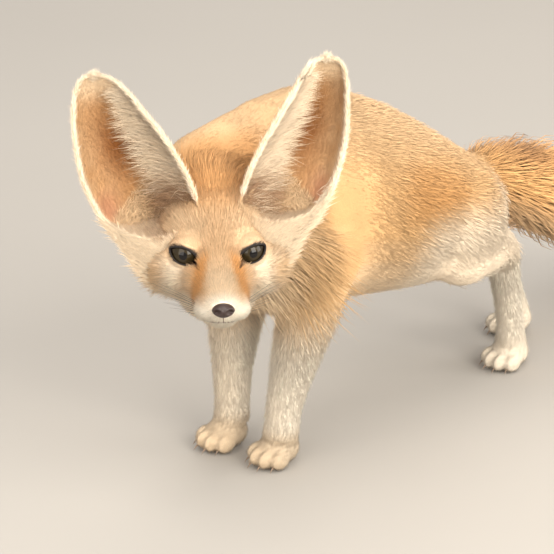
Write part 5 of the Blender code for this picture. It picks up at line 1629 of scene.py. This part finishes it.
def build_whiskers(context):
    count = context.scene.fennec_nose.whiskers
    draw = np.random.default_rng(61)
    bm = bmesh.new()
    for side in (-1, 1):
        for k in range(count):
            row, column = k % WHISKER_ROWS, k // WHISKER_ROWS
            root = Vector((side * (0.0110 + 0.0012 * column), -0.0335 + 0.0038 * column, -0.0175 - 0.0016 * row))
            way = Vector((side * (0.90 - 0.08 * row), 0.55 + 0.12 * column, 0.30 - 0.12 * row + 0.05 * draw.normal()))
            way.normalize()
            length = (WHISKER_LENGTH + 0.004 * column) * (1.0 + 0.15 * draw.normal())
            points, sizes = [], []
            for i in range(9):
                share = i / 8
                droop = Vector((0.0, 0.15 * share * share, -0.10 * share * share)) * length
                points.append(HEAD @ (root + way * length * share + droop))
                sizes.append(WHISKER_R * (1.0 - 0.75 * share))
            tube(bm, points, sizes, 4)
    new_piece("whiskers", mesh_from("whiskers", bm),
              material=bare_material("whisker", linear(60, 46, 38), 0.5, 900.0, 0.00002))


def aimed(name, data, place, way):
    """A lamp or camera at a place, turned to look along a way."""
    holder = put(name, data)
    holder.location = place
    holder.rotation_euler = way.to_track_quat("-Z", "Y").to_euler()
    return holder


def build_stage(context):
    settings, scene = context.scene.fennec_stage, context.scene
    bm = bmesh.new()
    bmesh.ops.create_grid(bm, x_segments=40, y_segments=40, size=FLOOR_HALF)
    floor = put("floor", mesh_from("floor", bm, smooth=False))
    floor.data.materials.append(floor_material(tuple(settings.floor)))
    world = bpy.data.worlds.new("studio")
    world.use_nodes = True
    sky = world.node_tree.nodes["Background"]
    sky.inputs["Color"].default_value = SKY_COLOUR
    sky.inputs["Strength"].default_value = SKY_STRENGTH
    scene.world = world
    for name, place, size, power, colour in LAMPS:
        lamp = bpy.data.lights.new(name, "AREA")
        lamp.size, lamp.energy, lamp.color = size, power, colour
        aimed(name, lamp, place, LIT_PLACE - Vector(place))
    camera = bpy.data.cameras.new("camera")
    camera.lens = settings.lens
    camera.sensor_width = camera.sensor_height = SENSOR
    camera.sensor_fit = "HORIZONTAL"
    camera.clip_start = 0.05
    way = CAMERA_WAY.normalized()
    scene.camera = aimed("camera", camera, CAMERA_AIM + SHIFT - way * settings.distance, way)
    scene.view_settings.view_transform = "Standard"


class FENNEC_OT_skin(bpy.types.Operator):
    """Build the skin that lies under the coat"""
    bl_idname = "fennec.skin"
    bl_label = "Skin"

    def execute(self, context):
        build_skin(context)
        return {"FINISHED"}


class FENNEC_OT_ears(bpy.types.Operator):
    """Build the thin cups of the ears"""
    bl_idname = "fennec.ears"
    bl_label = "Ears"

    def execute(self, context):
        build_ears(context)
        return {"FINISHED"}


class FENNEC_OT_eyes(bpy.types.Operator):
    """Build the eyeballs"""
    bl_idname = "fennec.eyes"
    bl_label = "Eyes"

    def execute(self, context):
        build_eyes(context)
        return {"FINISHED"}


class FENNEC_OT_lids(bpy.types.Operator):
    """Build the dark rims of the lids"""
    bl_idname = "fennec.lids"
    bl_label = "Lid rims"

    def execute(self, context):
        build_lids(context)
        return {"FINISHED"}


class FENNEC_OT_nose(bpy.types.Operator):
    """Build the nose pad and the line of the lips"""
    bl_idname = "fennec.nose"
    bl_label = "Nose and lips"

    def execute(self, context):
        build_nose(context)
        return {"FINISHED"}


class FENNEC_OT_claws(bpy.types.Operator):
    """Build the claws"""
    bl_idname = "fennec.claws"
    bl_label = "Claws"

    def execute(self, context):
        build_claws(context)
        return {"FINISHED"}


class FENNEC_OT_body_coat(bpy.types.Operator):
    """Grow the coat of the neck, trunk and thighs"""
    bl_idname = "fennec.body_coat"
    bl_label = "Body coat"

    def execute(self, context):
        build_body_coat(context)
        return {"FINISHED"}


class FENNEC_OT_face_coat(bpy.types.Operator):
    """Grow the short coat of the head"""
    bl_idname = "fennec.face_coat"
    bl_label = "Face coat"

    def execute(self, context):
        build_face_coat(context)
        return {"FINISHED"}


class FENNEC_OT_leg_coat(bpy.types.Operator):
    """Grow the short coat of the legs and paws"""
    bl_idname = "fennec.leg_coat"
    bl_label = "Leg coat"

    def execute(self, context):
        build_leg_coat(context)
        return {"FINISHED"}


class FENNEC_OT_tail_coat(bpy.types.Operator):
    """Grow the long hair of the tail"""
    bl_idname = "fennec.tail_coat"
    bl_label = "Tail coat"

    def execute(self, context):
        build_tail_coat(context)
        return {"FINISHED"}


class FENNEC_OT_ear_bases(bpy.types.Operator):
    """Build the furred fronts of the ears' bases"""
    bl_idname = "fennec.ear_bases"
    bl_label = "Ear bases"

    def execute(self, context):
        build_ear_bases(context)
        return {"FINISHED"}


class FENNEC_OT_ear_coat(bpy.types.Operator):
    """Grow the hair of the ears"""
    bl_idname = "fennec.ear_coat"
    bl_label = "Ear coat"

    def execute(self, context):
        build_ear_coat(context)
        return {"FINISHED"}


class FENNEC_OT_ear_tufts(bpy.types.Operator):
    """Grow the kink and the tuft of the left ear"""
    bl_idname = "fennec.ear_tufts"
    bl_label = "Ear tufts"

    def execute(self, context):
        build_ear_tufts(context)
        return {"FINISHED"}


class FENNEC_OT_whiskers(bpy.types.Operator):
    """Grow the whiskers"""
    bl_idname = "fennec.whiskers"
    bl_label = "Whiskers"

    def execute(self, context):
        build_whiskers(context)
        return {"FINISHED"}


class FENNEC_OT_stage(bpy.types.Operator):
    """Set up the floor, lights and camera"""
    bl_idname = "fennec.stage"
    bl_label = "Stage"

    def execute(self, context):
        build_stage(context)
        return {"FINISHED"}


OPERATORS = (FENNEC_OT_skin, FENNEC_OT_ears, FENNEC_OT_eyes, FENNEC_OT_lids, FENNEC_OT_nose, FENNEC_OT_claws,
             FENNEC_OT_body_coat, FENNEC_OT_face_coat, FENNEC_OT_leg_coat, FENNEC_OT_tail_coat, FENNEC_OT_ear_bases,
             FENNEC_OT_ear_coat, FENNEC_OT_ear_tufts, FENNEC_OT_whiskers, FENNEC_OT_stage)


class FENNEC_PT_panel(bpy.types.Panel):
    """Lists the steps that build the fox"""
    bl_idname = "FENNEC_PT_panel"
    bl_label = "Fennec fox"
    bl_space_type = "VIEW_3D"
    bl_region_type = "UI"
    bl_category = "Fennec"

    def draw(self, context):
        for item in OPERATORS:
            self.layout.operator(item.bl_idname, text=item.bl_label)


GROUPS = {"fennec_coat": FennecCoat, "fennec_eyes": FennecEyes, "fennec_nose": FennecNose,
          "fennec_stage": FennecStage}


def register():
    """Make the settings, operators and panel known."""
    for item in (*GROUPS.values(), *OPERATORS, FENNEC_PT_panel):
        bpy.utils.register_class(item)
    for name, group in GROUPS.items():
        setattr(bpy.types.Scene, name, PointerProperty(type=group))


def unregister():
    """Take them out again."""
    for name in GROUPS:
        delattr(bpy.types.Scene, name)
    for item in reversed((*GROUPS.values(), *OPERATORS, FENNEC_PT_panel)):
        bpy.utils.unregister_class(item)


def main():
    """Build every piece in order."""
    register()
    bpy.ops.fennec.skin()
    bpy.ops.fennec.ears()
    bpy.ops.fennec.eyes()
    bpy.ops.fennec.lids()
    bpy.ops.fennec.nose()
    bpy.ops.fennec.claws()
    bpy.ops.fennec.body_coat()
    bpy.ops.fennec.face_coat()
    bpy.ops.fennec.leg_coat()
    bpy.ops.fennec.tail_coat()
    bpy.ops.fennec.ear_bases()
    bpy.ops.fennec.ear_coat()
    bpy.ops.fennec.ear_tufts()
    bpy.ops.fennec.whiskers()
    bpy.ops.fennec.stage()


if __name__ == "__main__":
    main()
